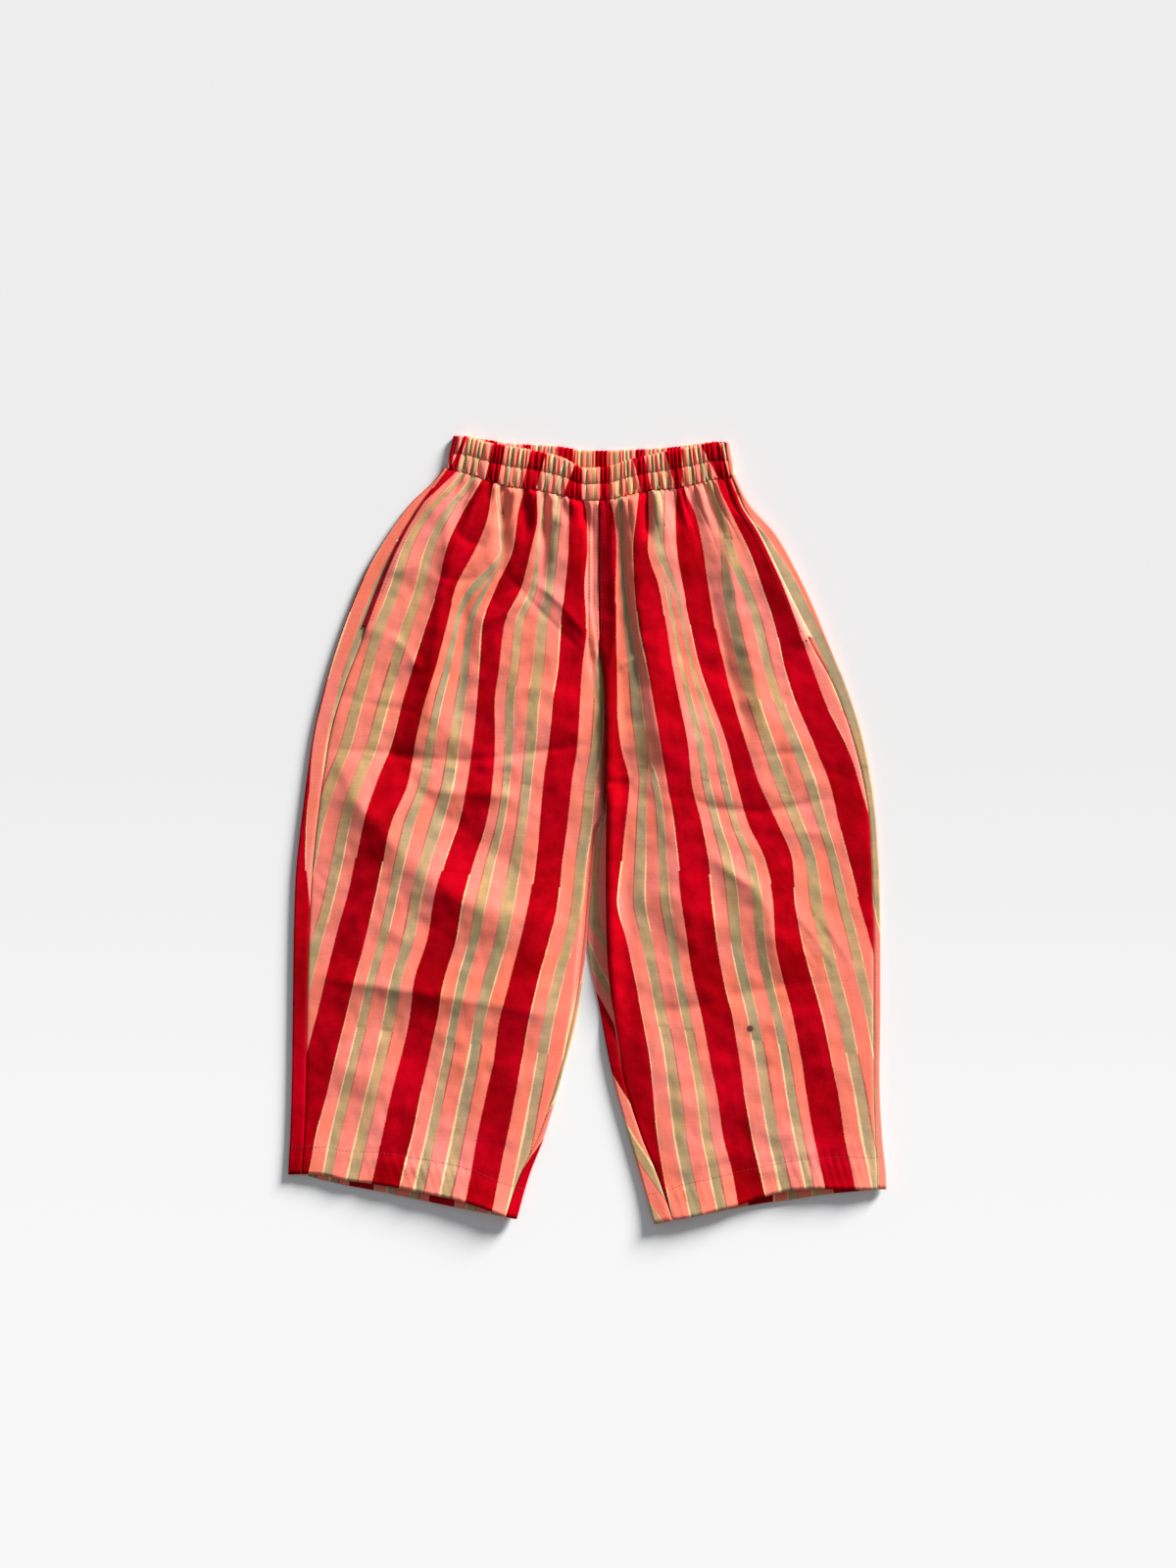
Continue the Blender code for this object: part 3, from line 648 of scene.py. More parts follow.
def as_points(parts, shape):
    """Arrays that spread to one shape, as rows of numbers: a row for each point of the grid."""
    return np.stack([np.broadcast_to(part, shape).ravel() for part in parts], axis=1)


def grid_faces(rows, columns, first=0):
    """The quads of a grid whose points are numbered row by row from first."""
    index = np.arange(rows * columns).reshape(rows, columns) + first
    corners = (index[:-1, :-1], index[:-1, 1:], index[1:, 1:], index[1:, :-1])
    return np.stack([corner.ravel() for corner in corners], axis=1)


def add_mesh(name, points, faces, places, material):
    """A mesh object from points in millimetres, with each point's place on the flat cloth."""
    mesh = bpy.data.meshes.new(name)
    mesh.from_pydata((points * MM).tolist(), [], faces)
    mesh.materials.append(material)
    mesh.shade_smooth()
    if places is not None:
        corner_points = np.empty(len(mesh.loops), int)
        mesh.loops.foreach_get("vertex_index", corner_points)
        uv_layer = mesh.uv_layers.new(name="cloth")
        uv_layer.data.foreach_set("uv", (places * MM)[corner_points].astype("f").ravel())
    piece = bpy.data.objects.new(name, mesh)
    bpy.context.scene.collection.objects.link(piece)
    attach(piece, "root")
    return piece


def add_cloth(name, grid, places, flip, wall, material):
    """A sheet from a grid of x, y, z and its places u, v; Solidify makes the wall."""
    shape = grid[0].shape
    faces = grid_faces(*shape)
    if flip:
        faces = faces[:, ::-1]
    points, flat = as_points(grid, shape), as_points(places, shape)
    piece = add_mesh(name, points, faces.tolist(), flat, material)
    solid = piece.modifiers.new("Wall", "SOLIDIFY")
    solid.thickness = wall * MM
    solid.offset = -1.0
    solid.use_even_offset = False
    return piece


def dress(node):
    """Let a piece stand for its CAD node, by hiding the node."""
    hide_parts(node)


# %% [markdown]
# ## The block print
#
# The cloth is printed by hand with carved blocks: a wide crimson stripe, then coral, khaki,
# coral, khaki and coral again, on cream cotton. The blocks never meet exactly. Where they miss
# each other a cream line stays bare, and where they overlap the dyes multiply to a thin dark
# line. Each impression is a hand's length of cloth, set down a little to one side of the last.
#
# So the material works as the printer does: every dye has its own mask, each edge of the mask
# wavers by itself, and the dyes are multiplied onto the cream one after another.

# %% Node helpers
def add_node(tree, kind, inputs=None, **settings):
    """A shader node with its settings; inputs maps a socket to a value or to an output."""
    node = tree.nodes.new(kind)
    for name, value in settings.items():
        setattr(node, name, value)
    for socket, value in (inputs or {}).items():
        if isinstance(value, bpy.types.NodeSocket):
            tree.links.new(value, node.inputs[socket])
        else:
            node.inputs[socket].default_value = value
    return node


def add_math(tree, operation, first, second=0.0, third=0.0):
    """The result of one step of arithmetic; each operand is a number or an output."""
    sockets = {0: first, 1: second, 2: third}
    return add_node(tree, "ShaderNodeMath", sockets, operation=operation).outputs[0]


def add_mix(tree, blend_type, share, first, second):
    """Two colours mixed or multiplied; share 0 keeps the first."""
    node = add_node(tree, "ShaderNodeMix", data_type="RGBA", blend_type=blend_type)
    for socket, value in ((0, share), (6, first), (7, second)):
        if isinstance(value, bpy.types.NodeSocket):
            tree.links.new(value, node.inputs[socket])
        else:
            node.inputs[socket].default_value = value
    return node.outputs[2]


def add_noise(tree, vector, scale, detail=2.0, roughness=0.5):
    """Cloudy values about 0.5; scale counts the clouds in a metre."""
    sockets = {"Vector": vector, "Scale": scale, "Detail": detail, "Roughness": roughness}
    return add_node(tree, "ShaderNodeTexNoise", sockets, noise_dimensions="2D").outputs["Fac"]


def add_wander(tree, along, scale, seed, detail=2.0):
    """A number around zero that wanders with one coordinate."""
    place = add_math(tree, "MULTIPLY_ADD", along, scale, seed)
    sockets = {"W": place, "Scale": 1.0, "Detail": detail}
    noise = add_node(tree, "ShaderNodeTexNoise", sockets, noise_dimensions="1D")
    return add_math(tree, "SUBTRACT", noise.outputs["Fac"], 0.5)


def add_ramp(tree, value, low, high, smooth=True):
    """0 below low and 1 above high."""
    sockets = {"Value": value, 1: low, 2: high}
    kind = "SMOOTHSTEP" if smooth else "LINEAR"
    return add_node(tree, "ShaderNodeMapRange", sockets, interpolation_type=kind).outputs[0]


def start_material(name, roughness, specular):
    """A material whose whole-surface numbers sit on the shader's own sockets."""
    material = bpy.data.materials.new(name)
    material.use_nodes = True
    tree = material.node_tree
    shader = tree.nodes["Principled BSDF"]
    shader.inputs["Roughness"].default_value = roughness
    shader.inputs["Specular IOR Level"].default_value = specular
    return material, tree, shader


# %% The dyes and the stripes of one repeat
CREAM = (0.86, 0.60, 0.33, 1.0)  # the ground, which is warmer in some places
WARM_CREAM = (0.87, 0.59, 0.28, 1.0)
# each dye's strong and weak tone; what it takes away is multiplied into the colour under it
CORAL_DYE = ((1.0, 0.31, 0.34, 1.0), (1.0, 0.39, 0.64, 1.0))
KHAKI_DYE = ((0.38, 0.42, 0.44, 1.0), (0.69, 0.57, 0.53, 1.0))
CRIMSON_DYE = ((0.33, 0.0015, 0.010, 1.0), (0.58, 0.0015, 0.030, 1.0))
KHAKI_TWICE = (0.82, 0.85, 0.82, 1.0)  # where two impressions of the same dye overlap
CRIMSON_TWICE = (0.93, 0.93, 0.93, 1.0)
# where each dye's stripes start and end, in repeats; a start a little late leaves cream, and
# an end a little late overlaps
CORAL_STRIPES = ((0.307, 0.457), (0.574, 0.743), (0.860, 1.002))
KHAKI_STRIPES = ((0.456, 0.578), (0.742, 0.864))
CRIMSON_END = 0.306
KHAKI_LATE = 0.014  # how much later the khaki stripes start near the hems, which bares cream
KHAKI_LATE_REACH = (0.05, 0.4)  # y where that begins, and over what length it grows, in metres
REPEAT_CUT = 0.155  # the repeat is counted from the middle of the crimson stripe
EDGE_SOFTNESS = 0.006
EDGE_WANDER = 0.035
EDGE_WAVES = 7.0  # how many times an edge wanders out and back in a metre
EDGE_RAGGEDNESS = 0.012
IMPRESSION = 0.29  # length of one block along the cloth, in metres
IMPRESSION_SHIFT = 0.016
IMPRESSION_SLANT = 0.05
IMPRESSION_MEETING = (0.012, 0.017)  # the band of double dye, in impressions
# noise over the cloth: its scale, detail and roughness
CLOUDY = (9.0, 2.0)
MOTTLED = (55.0, 4.0, 0.6)
GRAIN = (420.0, 2.0)
WARM_PLACES = (5.0, 3.0)
PINK_PLACES = (6.0, 3.0)
PINK_SHARE = 0.55  # of the coral's tone that comes from those places, and not from its ink


def stripe_edge(tree, place, repeat, along, at, seed):
    """0 before one edge of a stripe and 1 after it; every edge wanders along the cloth."""
    start = add_math(tree, "MULTIPLY_ADD", repeat, 5.3, seed * 3.7)
    wander = add_wander(tree, along, EDGE_WAVES, start, 4.0)
    moved = add_math(tree, "MULTIPLY_ADD", wander, EDGE_WANDER, place)
    return add_ramp(tree, moved, at - EDGE_SOFTNESS, at + EDGE_SOFTNESS)


def add_dye(tree, mask, colours, tone, under):
    """Multiply one dye onto what is printed already; its tone runs between two colours."""
    dye = add_mix(tree, "MIX", tone, *colours)
    return add_mix(tree, "MULTIPLY", mask, under, dye)


def impression(tree, across, along, seed):
    """The shift of a block's impression, and a mask of the band where two impressions meet."""
    slanted = add_math(tree, "MULTIPLY_ADD", across, IMPRESSION_SLANT, seed * 0.37)
    count = add_math(tree, "MULTIPLY_ADD", along, 1 / IMPRESSION, slanted)
    whole = add_math(tree, "FLOOR", count)
    part = add_math(tree, "FRACT", count)
    sockets = {"W": add_math(tree, "ADD", whole, seed)}
    random = add_node(tree, "ShaderNodeTexWhiteNoise", sockets, noise_dimensions="1D")
    centred = add_math(tree, "SUBTRACT", random.outputs["Value"], 0.5)
    shift = add_math(tree, "MULTIPLY", centred, IMPRESSION_SHIFT)
    meeting = add_math(tree, "SUBTRACT", 1.0, add_ramp(tree, part, *IMPRESSION_MEETING))
    return shift, meeting


# %% What each block prints
def block_places(tree, across, along, grain):
    """For coral, khaki and crimson: the place in the repeat and the impressions' meeting.

    Each block is set down by itself, so its place across the cloth is shifted at each
    impression, and frays with the grain. The last output counts the repeats.
    """
    ragged = add_math(tree, "SUBTRACT", grain, 0.5)
    layers = []
    for seed in (1.0, 2.0, 3.0):
        shift, meeting = impression(tree, across, along, seed)
        place = add_math(tree, "ADD", across, shift)
        place = add_math(tree, "MULTIPLY_ADD", ragged, EDGE_RAGGEDNESS, place)
        cut = add_math(tree, "SUBTRACT", place, REPEAT_CUT)
        layers.append((add_math(tree, "ADD", add_math(tree, "FRACT", cut), REPEAT_CUT), meeting))
        repeat = add_math(tree, "FLOOR", cut)
    return layers, repeat


def block_masks(tree, places, repeat, along):
    """Where coral, khaki and crimson are printed: 1 between the two edges of their stripes."""
    coral_place, khaki_place, crimson_place = places
    late_from, late_reach = KHAKI_LATE_REACH
    below = add_math(tree, "SUBTRACT", late_from, along)
    towards_hem = add_ramp(tree, below, 0.0, late_reach, False)
    seed = 0.0
    masks = []
    for place, stripes in ((coral_place, CORAL_STRIPES), (khaki_place, KHAKI_STRIPES)):
        mask = 0.0
        for start, end in stripes:
            seed += 2.0
            late = KHAKI_LATE if stripes is KHAKI_STRIPES else 0.0
            opened = add_math(tree, "MULTIPLY_ADD", towards_hem, -late, place)
            opening = stripe_edge(tree, opened, repeat, along, start, seed)
            closing = stripe_edge(tree, place, repeat, along, end, seed + 1.0)
            mask = add_math(tree, "ADD", mask, add_math(tree, "SUBTRACT", opening, closing))
        masks.append(mask)
    after_red = stripe_edge(tree, crimson_place, repeat, along, CRIMSON_END, 21.0)
    before_red = stripe_edge(tree, crimson_place, repeat, along, 1.0, 22.0)
    bare = add_math(tree, "SUBTRACT", after_red, before_red)
    masks.append(add_math(tree, "SUBTRACT", 1.0, bare))
    return masks


def add_print(tree, across, along):
    """The printed colour at a place on the cloth, given in repeats across and metres along."""
    flat = add_node(tree, "ShaderNodeCombineXYZ", {0: across, 1: along}).outputs[0]
    stretch = {0: flat, 1: (PRINT_REPEAT * MM, 1.0, 1.0)}
    metres = add_node(tree, "ShaderNodeVectorMath", stretch, operation="MULTIPLY").outputs[0]
    cloudy = add_noise(tree, metres, *CLOUDY)
    mottled = add_noise(tree, metres, *MOTTLED)
    grain = add_noise(tree, metres, *GRAIN)
    layers, repeat = block_places(tree, across, along, grain)
    masks = block_masks(tree, [place for place, _ in layers], repeat, along)
    _, khaki_meeting, crimson_meeting = [meeting for _, meeting in layers]

    # tones: more or less ink, from the clouds and the mottling
    tone = add_math(tree, "MULTIPLY_ADD", mottled, 0.45, add_math(tree, "MULTIPLY", cloudy, 0.6))
    tone = add_ramp(tree, tone, 0.30, 0.75)
    red_tone = add_ramp(tree, add_math(tree, "MULTIPLY_ADD", mottled, 0.6, cloudy), 0.55, 1.1)
    warm = add_ramp(tree, add_noise(tree, metres, *WARM_PLACES), 0.42, 0.62)
    ground = add_mix(tree, "MIX", warm, CREAM, WARM_CREAM)
    pink = add_ramp(tree, add_noise(tree, metres, *PINK_PLACES), 0.35, 0.65)
    inked = add_math(tree, "MULTIPLY", tone, 1 - PINK_SHARE)
    coral_tone = add_math(tree, "MULTIPLY_ADD", pink, PINK_SHARE, inked)

    # the dyes, one on the other
    colour = add_dye(tree, masks[0], CORAL_DYE, coral_tone, ground)
    colour = add_dye(tree, masks[1], KHAKI_DYE, tone, colour)
    colour = add_dye(tree, masks[2], CRIMSON_DYE, red_tone, colour)
    twice = add_math(tree, "MULTIPLY", khaki_meeting, masks[1])
    colour = add_mix(tree, "MULTIPLY", twice, colour, KHAKI_TWICE)
    twice = add_math(tree, "MULTIPLY", crimson_meeting, masks[2])
    return add_mix(tree, "MULTIPLY", twice, colour, CRIMSON_TWICE), grain


# %% [markdown]
# ## Cotton
#
# A plain weave of threads about half a millimetre apart gives the surface its tooth, and
# single thicker threads run through it as faint streaks. Both read the UV map, so they follow
# the cloth. Cotton scatters light evenly, so the finish is rough, with hardly any gloss.

# %% Weave and the printed cotton
THREAD = 0.55 * MM
WEAVE_DEPTH = 0.02 * MM
CRUMPLE_DEPTH = 0.25 * MM
CRUMPLE = (130.0, 3.0, 0.55)
STREAK_STRETCHES = ((900.0, 25.0, 1.0), (25.0, 900.0, 1.0))  # along each of the two threads
STREAK_TONES = ((0.95, 0.945, 0.94, 1.0), (1.05, 1.05, 1.05, 1.0))
COTTON_ROUGHNESS = 0.95


def add_weave(tree, metres):
    """Height of a plain weave: the product of two sines, one turn for every two threads."""
    parts = add_node(tree, "ShaderNodeSeparateXYZ", {0: metres})
    turns = np.pi / THREAD
    one = add_math(tree, "SINE", add_math(tree, "MULTIPLY", parts.outputs[0], turns))
    other = add_math(tree, "SINE", add_math(tree, "MULTIPLY", parts.outputs[1], turns))
    return add_math(tree, "MULTIPLY", one, other)


def add_streaks(tree, metres):
    """Faint single threads in both directions, from noise stretched along each."""
    total = 0.0
    for stretch in STREAK_STRETCHES:
        sockets = {0: metres, 1: stretch}
        vector = add_node(tree, "ShaderNodeVectorMath", sockets, operation="MULTIPLY").outputs[0]
        total = add_math(tree, "ADD", total, add_noise(tree, vector, 1.0, 1.0))
    return add_ramp(tree, total, 0.6, 1.4)


def finish_cotton(tree, shader, colour, metres, grain):
    """Streaks on the colour, and bumps from the weave and from fine crumpling."""
    streaks = add_streaks(tree, metres)
    lighter = add_mix(tree, "MIX", streaks, *STREAK_TONES)
    colour = add_mix(tree, "MULTIPLY", 1.0, colour, lighter)
    tree.links.new(colour, shader.inputs["Base Color"])
    crumple = add_noise(tree, metres, *CRUMPLE)
    sockets = {"Height": crumple, "Distance": CRUMPLE_DEPTH, "Strength": 0.6}
    broad = add_node(tree, "ShaderNodeBump", sockets)
    height = add_math(tree, "MULTIPLY_ADD", grain, 0.8, add_weave(tree, metres))
    sockets = {"Height": height, "Distance": WEAVE_DEPTH, "Strength": 0.8}
    fine = add_node(tree, "ShaderNodeBump", sockets)
    tree.links.new(broad.outputs[0], fine.inputs["Normal"])
    tree.links.new(fine.outputs[0], shader.inputs["Normal"])


# %% [markdown]
# ## Marks
#
# A dark spot the size of a lentil sits low on the left leg, and a pale fleck high on the right
# one. They belong to a place on the lying garment and not to the repeat of the print, so the
# mark is a soft disc round a point on Object coordinates, read from above.

# %% Marks, and the cottons and the thread
# a mark's place from above in metres, its radius, how strongly it covers and its colour
STAIN = ((0.1815, -0.2233, 0.0), 5.5 * MM, 1.0, (0.12, 0.05, 0.035, 1.0))
FLECK = ((-0.2134, 0.3234, 0.0), 1.8 * MM, 0.9, (0.9, 0.85, 0.8, 1.0))


def add_mark(tree, colour, mark):
    """A small round mark on the cloth, with a soft edge."""
    place, radius, cover, tone = mark
    here = add_node(tree, "ShaderNodeTexCoord").outputs["Object"]
    flat = {0: here, 1: (1.0, 1.0, 0.0)}
    above = add_node(tree, "ShaderNodeVectorMath", flat, operation="MULTIPLY").outputs[0]
    away = add_node(tree, "ShaderNodeVectorMath", {0: above, 1: place}, operation="DISTANCE")
    inside = add_math(tree, "SUBTRACT", 1.0, add_ramp(tree, away.outputs[1], 0.4 * radius, radius))
    return add_mix(tree, "MIX", add_math(tree, "MULTIPLY", inside, cover), colour, tone)


def make_printed_cotton(name):
    """The block-printed cloth, on the piece's own UV map, with the marks."""
    material, tree, shader = start_material(name, COTTON_ROUGHNESS, 0.0)
    metres = add_node(tree, "ShaderNodeUVMap", uv_map="cloth").outputs[0]
    parts = add_node(tree, "ShaderNodeSeparateXYZ", {0: metres})
    across = add_math(tree, "DIVIDE", parts.outputs[0], PRINT_REPEAT * MM)
    colour, grain = add_print(tree, across, parts.outputs[1])
    colour = add_mark(tree, add_mark(tree, colour, STAIN), FLECK)
    finish_cotton(tree, shader, colour, metres, grain)
    return material


def make_plain_cotton(name, dark, light):
    """Undyed or plain-dyed cotton, which varies a little between two tones."""
    material, tree, shader = start_material(name, COTTON_ROUGHNESS, 0.0)
    metres = add_node(tree, "ShaderNodeUVMap", uv_map="cloth").outputs[0]
    colour = add_mix(tree, "MIX", add_noise(tree, metres, 60.0, 3.0), dark, light)
    finish_cotton(tree, shader, colour, metres, add_noise(tree, metres, *GRAIN))
    return material


def make_thread(name, dark, light):
    """Twisted sewing thread: fine noise in its tone and its bumps, and a little gloss."""
    material, tree, shader = start_material(name, 0.6, 0.35)
    place = add_node(tree, "ShaderNodeTexCoord").outputs["Object"]
    noise = add_node(tree, "ShaderNodeTexNoise", {"Vector": place, "Scale": 900.0}).outputs["Fac"]
    tree.links.new(add_mix(tree, "MIX", noise, dark, light), shader.inputs["Base Color"])
    sockets = {"Height": noise, "Distance": 0.05 * MM, "Strength": 0.5}
    bump = add_node(tree, "ShaderNodeBump", sockets)
    tree.links.new(bump.outputs[0], shader.inputs["Normal"])
    return material


printed_cotton = make_printed_cotton("printed_cotton")
PALE_TONES = ((0.70, 0.38, 0.26, 1.0), (0.80, 0.54, 0.36, 1.0))
CRIMSON_TONES = ((0.24, 0.002, 0.008, 1.0), (0.5, 0.004, 0.02, 1.0))
BURGUNDY_TONES = ((0.10, 0.005, 0.02, 1.0), (0.22, 0.02, 0.05, 1.0))
pale_cotton = make_plain_cotton("pale_cotton", *PALE_TONES)
crimson_cotton = make_plain_cotton("crimson_cotton", *CRIMSON_TONES)
burgundy_thread = make_thread("burgundy_thread", *BURGUNDY_TONES)
print("printed cotton:", len(printed_cotton.node_tree.nodes), "nodes")

# %% [markdown]
# ## Front panels
#
# A front panel runs from the side seam to the inseam, and from the casing to the hem. The
# print has to fall where it falls on the real garment, so the edges of its crimson stripes are
# measured at levels down the leg, and the rest of the repeat is spread evenly between them.
#
# Near the waist the cloth is folded under itself, and a fold swallows part of the repeat: a
# whole stripe can be missing between two crimson ones. A real fold that deep would need cloth
# in three layers. Here the print jumps instead from one place in the repeat to another across
# the narrow line of the fold, and the jump fades out where the fold opens down the leg.

# %% Where the stripes lie
CRIMSON_WIDTH = 0.31  # of a repeat
# y, then x where each crimson stripe starts and ends
RIGHT["stripes"] = (
    (404, -112, -98, -70, -56, -23, -7),
    (381, -125, -106, -72, -57, -22, -7),
    (352, -142, -110, -79, -56, -21, -2),
    (315, -158, -125, -84, -63, -22, -1),
    (271, -168, -148, -103, -74, -26, -4),
    (227, -182, -158, -119, -94, -31, -1),
    (183, -196, -170, -122, -99, -34, -6),
    (139, -209, -184, -125, -105, -41, -9),
    (95, -221, -194, -130, -105, -45, -12),
    (51, -238, -202, -136, -107, -51, -19),
    (7, -252, -220, -146, -114, -55, -23),
    (-37, -261, -229, -161, -128, -59, -29),
    (-81, -271, -238, -172, -139, -66, -33),
    (-125, -283, -249, -179, -147, -75, -43),
    (-169, -294, -260, -193, -160, -87, -55),
    (-213, -305, -271, -200, -168, -99, -65),
    (-257, -316, -282, -210, -178, -105, -73),
    (-301, -326, -293, -220, -187, -114, -81),
    (-345, -337, -304, -230, -196, -123, -89),
    (-378, -345, -310, -238, -204, -129, -96),
    (-444, -361, -326, -253, -219, -143, -110),
)
LEFT["stripes"] = (
    (404, 2, 24, 57, 68, 95, 105, 141, 156),
    (381, 0, 23, 57, 68, 100, 108, 147, 164),
    (352, 3, 30, 54, 68, 98, 120, 161, 182),
    (315, 6, 32, 50, 67, 99, 128, 179, 201),
    (271, 4, 31, 52, 80, 106, 135, 195, 219),
    (227, 3, 32, 56, 88, 114, 143, 209, 235),
    (183, 3, 32, 65, 95, 124, 153, 219, 250),
    (139, 3, 32, 73, 103, 139, 164, 233, 267),
    (95, 8, 36, 80, 111, 155, 177, 252, 289),
    (51, 15, 46, 88, 116, 166, 191, 270, 304),
    (7, 12, 42, 95, 127, 178, 212, 280, 316),
    (-37, 8, 38, 100, 135, 198, 229, 292, 326),
    (-81, 2, 34, 105, 140, 207, 232, 304, 338),
    (-125, 12, 44, 112, 145, 210, 240, 317, 351),
    (-169, 22, 54, 119, 153, 219, 252, 327, 361),
    (-213, 30, 62, 128, 163, 230, 264, 338, 372),
    (-257, 37, 70, 136, 170, 239, 273, 345, 380),
    (-301, 42, 74, 146, 177, 246, 282, 353, 387),
    (-345, 47, 79, 152, 185, 254, 289, 361, 395),
    (-378, 51, 84, 160, 193, 261, 296, 367, 402),
    (-444, 62, 97, 173, 207, 273, 308, 380, 414),
)
RIGHT["print_lead"] = 0.035  # how far the khaki stripes sit off the middle between two reds
LEFT["print_lead"] = -0.03
# y, then how many millimetres one repeat takes beyond the outermost crimson stripe
OUTER_REPEAT = ((404, 45), (381, 60), (352, 80), (315, 90), (271, 98), (227, 104))
# the gather folds that swallow cloth, one for each gap between crimson stripes: y and x of the
# fold, the y where it ends, and the places in the repeat between which nothing shows
PRINT_FOLD_WIDTH = 3.0
PRINT_FOLD_FADE = 80.0
RIGHT["print_folds"] = (
    (((404, -86), (381, -101), (352, -98), (315, -95), (260, -108)), 236, (0.455, 0.86)),
    (((381, -48), (352, -51), (275, -62)), 236, (0.445, 0.60)),
)
LEFT["print_folds"] = (
    (((380, 40), (295, 42), (241, 48), (187, 57), (130, 64), (60, 73)), 20, (0.578, 0.93)),
    (((404, 73), (381, 71.5), (352, 71.5), (315, 73), (260, 86)), 245, (0.32, 0.742)),
    (((381, 134), (352, 144), (315, 151), (260, 165)), 240, (0.45, 0.75)),
)


def through_knots(x, knots, values):
    """Straight lines through knots that may move from point to point, carried on at the ends."""
    total = values[0] + 0 * x
    last = len(values) - 2
    for k in range(last + 1):
        share = (x - knots[k]) / (knots[k + 1] - knots[k])
        share = share if k == 0 else np.maximum(share, 0.0)
        share = share if k == last else np.minimum(share, 1.0)
        total = total + (values[k + 1] - values[k]) * share
    return total


def front_print(leg, x, y):
    """Place across the print, in repeats, from the crimson edges at this height.

    Between two crimson stripes lie two more knots. They sit at the middle of the gap, or on
    both sides of a gather fold that swallows the part of the print between their values.
    """
    edges = [smooth_curve(y, leg["stripes"], k) for k in range(1, len(leg["stripes"][0]))]
    places, values = [], []
    for k, edge in enumerate(edges):
        places.append(edge)
        values.append(k // 2 + CRIMSON_WIDTH * (k % 2))
        if k % 2 == 0 or k == len(edges) - 1:
            continue
        gap_width = edges[k + 1] - edge
        middle = edge + gap_width / 2
        middle_value = (k // 2) + (1 + CRIMSON_WIDTH) / 2 + leg["print_lead"]
        step = (1 - CRIMSON_WIDTH) / gap_width
        knots = [middle - 1.0, middle + 1.0]
        knot_values = [middle_value - step, middle_value + step]
        path, end_y, swallowed = leg["print_folds"][k // 2]
        hidden = ease((y - end_y) / PRINT_FOLD_FADE)
        fold_x = smooth_curve(y, path)
        places.append(blend(knots[0], fold_x - PRINT_FOLD_WIDTH / 2, hidden))
        places.append(blend(knots[1], fold_x + PRINT_FOLD_WIDTH / 2, hidden))
        values += [blend(v, k // 2 + u, hidden) for v, u in zip(knot_values, swallowed)]
    places = [edges[0] - smooth_curve(y, OUTER_REPEAT), *places, edges[-1] + PRINT_REPEAT]
    values = [values[0] - 1, *values, values[-1] + 1]
    return through_knots(x, places, values)


for word, leg in (("right", RIGHT), ("left", LEFT)):
    print(f"{word} leg: {len(leg['stripes'][0]) // 2} crimson stripes at {len(leg['stripes'])} levels")

# %% The front panels' surface
SEAM_GAP = 0.3
SEAM_STEPS = 12
SEAM_DIP = 0.7  # how deep the cloth turns in along a seam
SEAM_DIP_WIDTH = 1.6
FRONT_ROWS = 252
FRONT_COLUMNS = 190
ROW_POWER = 1.3  # puts more rows near the gathers
PUCKERS = 27  # soft folds just below the casing
PUCKER_OFFSET = 0.004  # share of the casing by which they sit off its ridges
PUCKER_DEPTH = 5.5
PUCKER_REACH = 26.0
PINCH_REACH = 4.0  # over which the cloth is drawn down to the stitches
PINCH_POWER = 1.3
# y of a pocket mouth's top and bottom, how far the facing shows there, and its width inside
RIGHT["pocket"] = (382, 226, 2.5, 4.5, 22.0)
LEFT["pocket"] = (372, 214, 0.4, 5.0, 22.0)
POCKET_LIFT = 3.1  # of the front panel's edge over the facing
POCKET_REACH = 25.0  # how far into the leg it fades
POCKET_FADE = 16.0  # how far below the mouth it ends


def seam_ends(leg, name, hem_name, waist_name):
    """y of the top and of the hem of one of a leg's lines, each found by a few steps."""
    top_y, hem_y = 400.0, -400.0
    for _ in range(SEAM_STEPS):
        top_y = waist_line(waist_name, leg_line(leg, name, top_y)) - SEAM_GAP
        hem_y = hem_line(leg, hem_name, leg_line(leg, name, hem_y))
    return float(top_y), float(hem_y)


def pocket_lift(leg, x, y):
    """How much the front panel stands over the facing, from the waist to the mouth's end."""
    along = ease((y - leg["pocket"][1]) / POCKET_FADE + 1)
    inward = -leg["side"] * (x - leg_line(leg, "side_seam", y))
    return POCKET_LIFT * along * bell(inward, POCKET_REACH)


def waist_share(leg, x, y):
    """Where the fold through a point starts on the casing: points keep their share of the row."""
    side_top, _ = seam_ends(leg, "side_seam", "front", "low")
    inner_top, _ = seam_ends(leg, "inseam", "front", "low")
    side_x = leg_line(leg, "side_seam", y)
    share = (x - side_x) / (leg_line(leg, "inseam", y) - side_x)
    top = blend(leg_line(leg, "side_seam", side_top), leg_line(leg, "inseam", inner_top), share)
    return gather_share(top)


def cloth_height(leg, x, y):
    """Height of the finished upper cloth.

    The free cloth takes soft puckers and turns in at its seams, and near the casing it is
    drawn down to the pinched row of stitches.
    """
    below = np.maximum(waist_line("low", x) - y, 0.0)
    share = waist_share(leg, x, y)
    soft = 1 - gather_ridges(share + PUCKER_OFFSET, PUCKERS)
    free = top_height(leg, x, y) - PUCKER_DEPTH * soft * np.exp(-below / PUCKER_REACH)
    free = free - SEAM_DIP * bell(x - leg_line(leg, "side_seam", y), SEAM_DIP_WIDTH)
    free = free - SEAM_DIP * bell(x - leg_line(leg, "inseam", y), SEAM_DIP_WIDTH)
    drawn = np.exp(-((below / PINCH_REACH) ** PINCH_POWER))
    return blend(free, pinch_height(share), drawn)


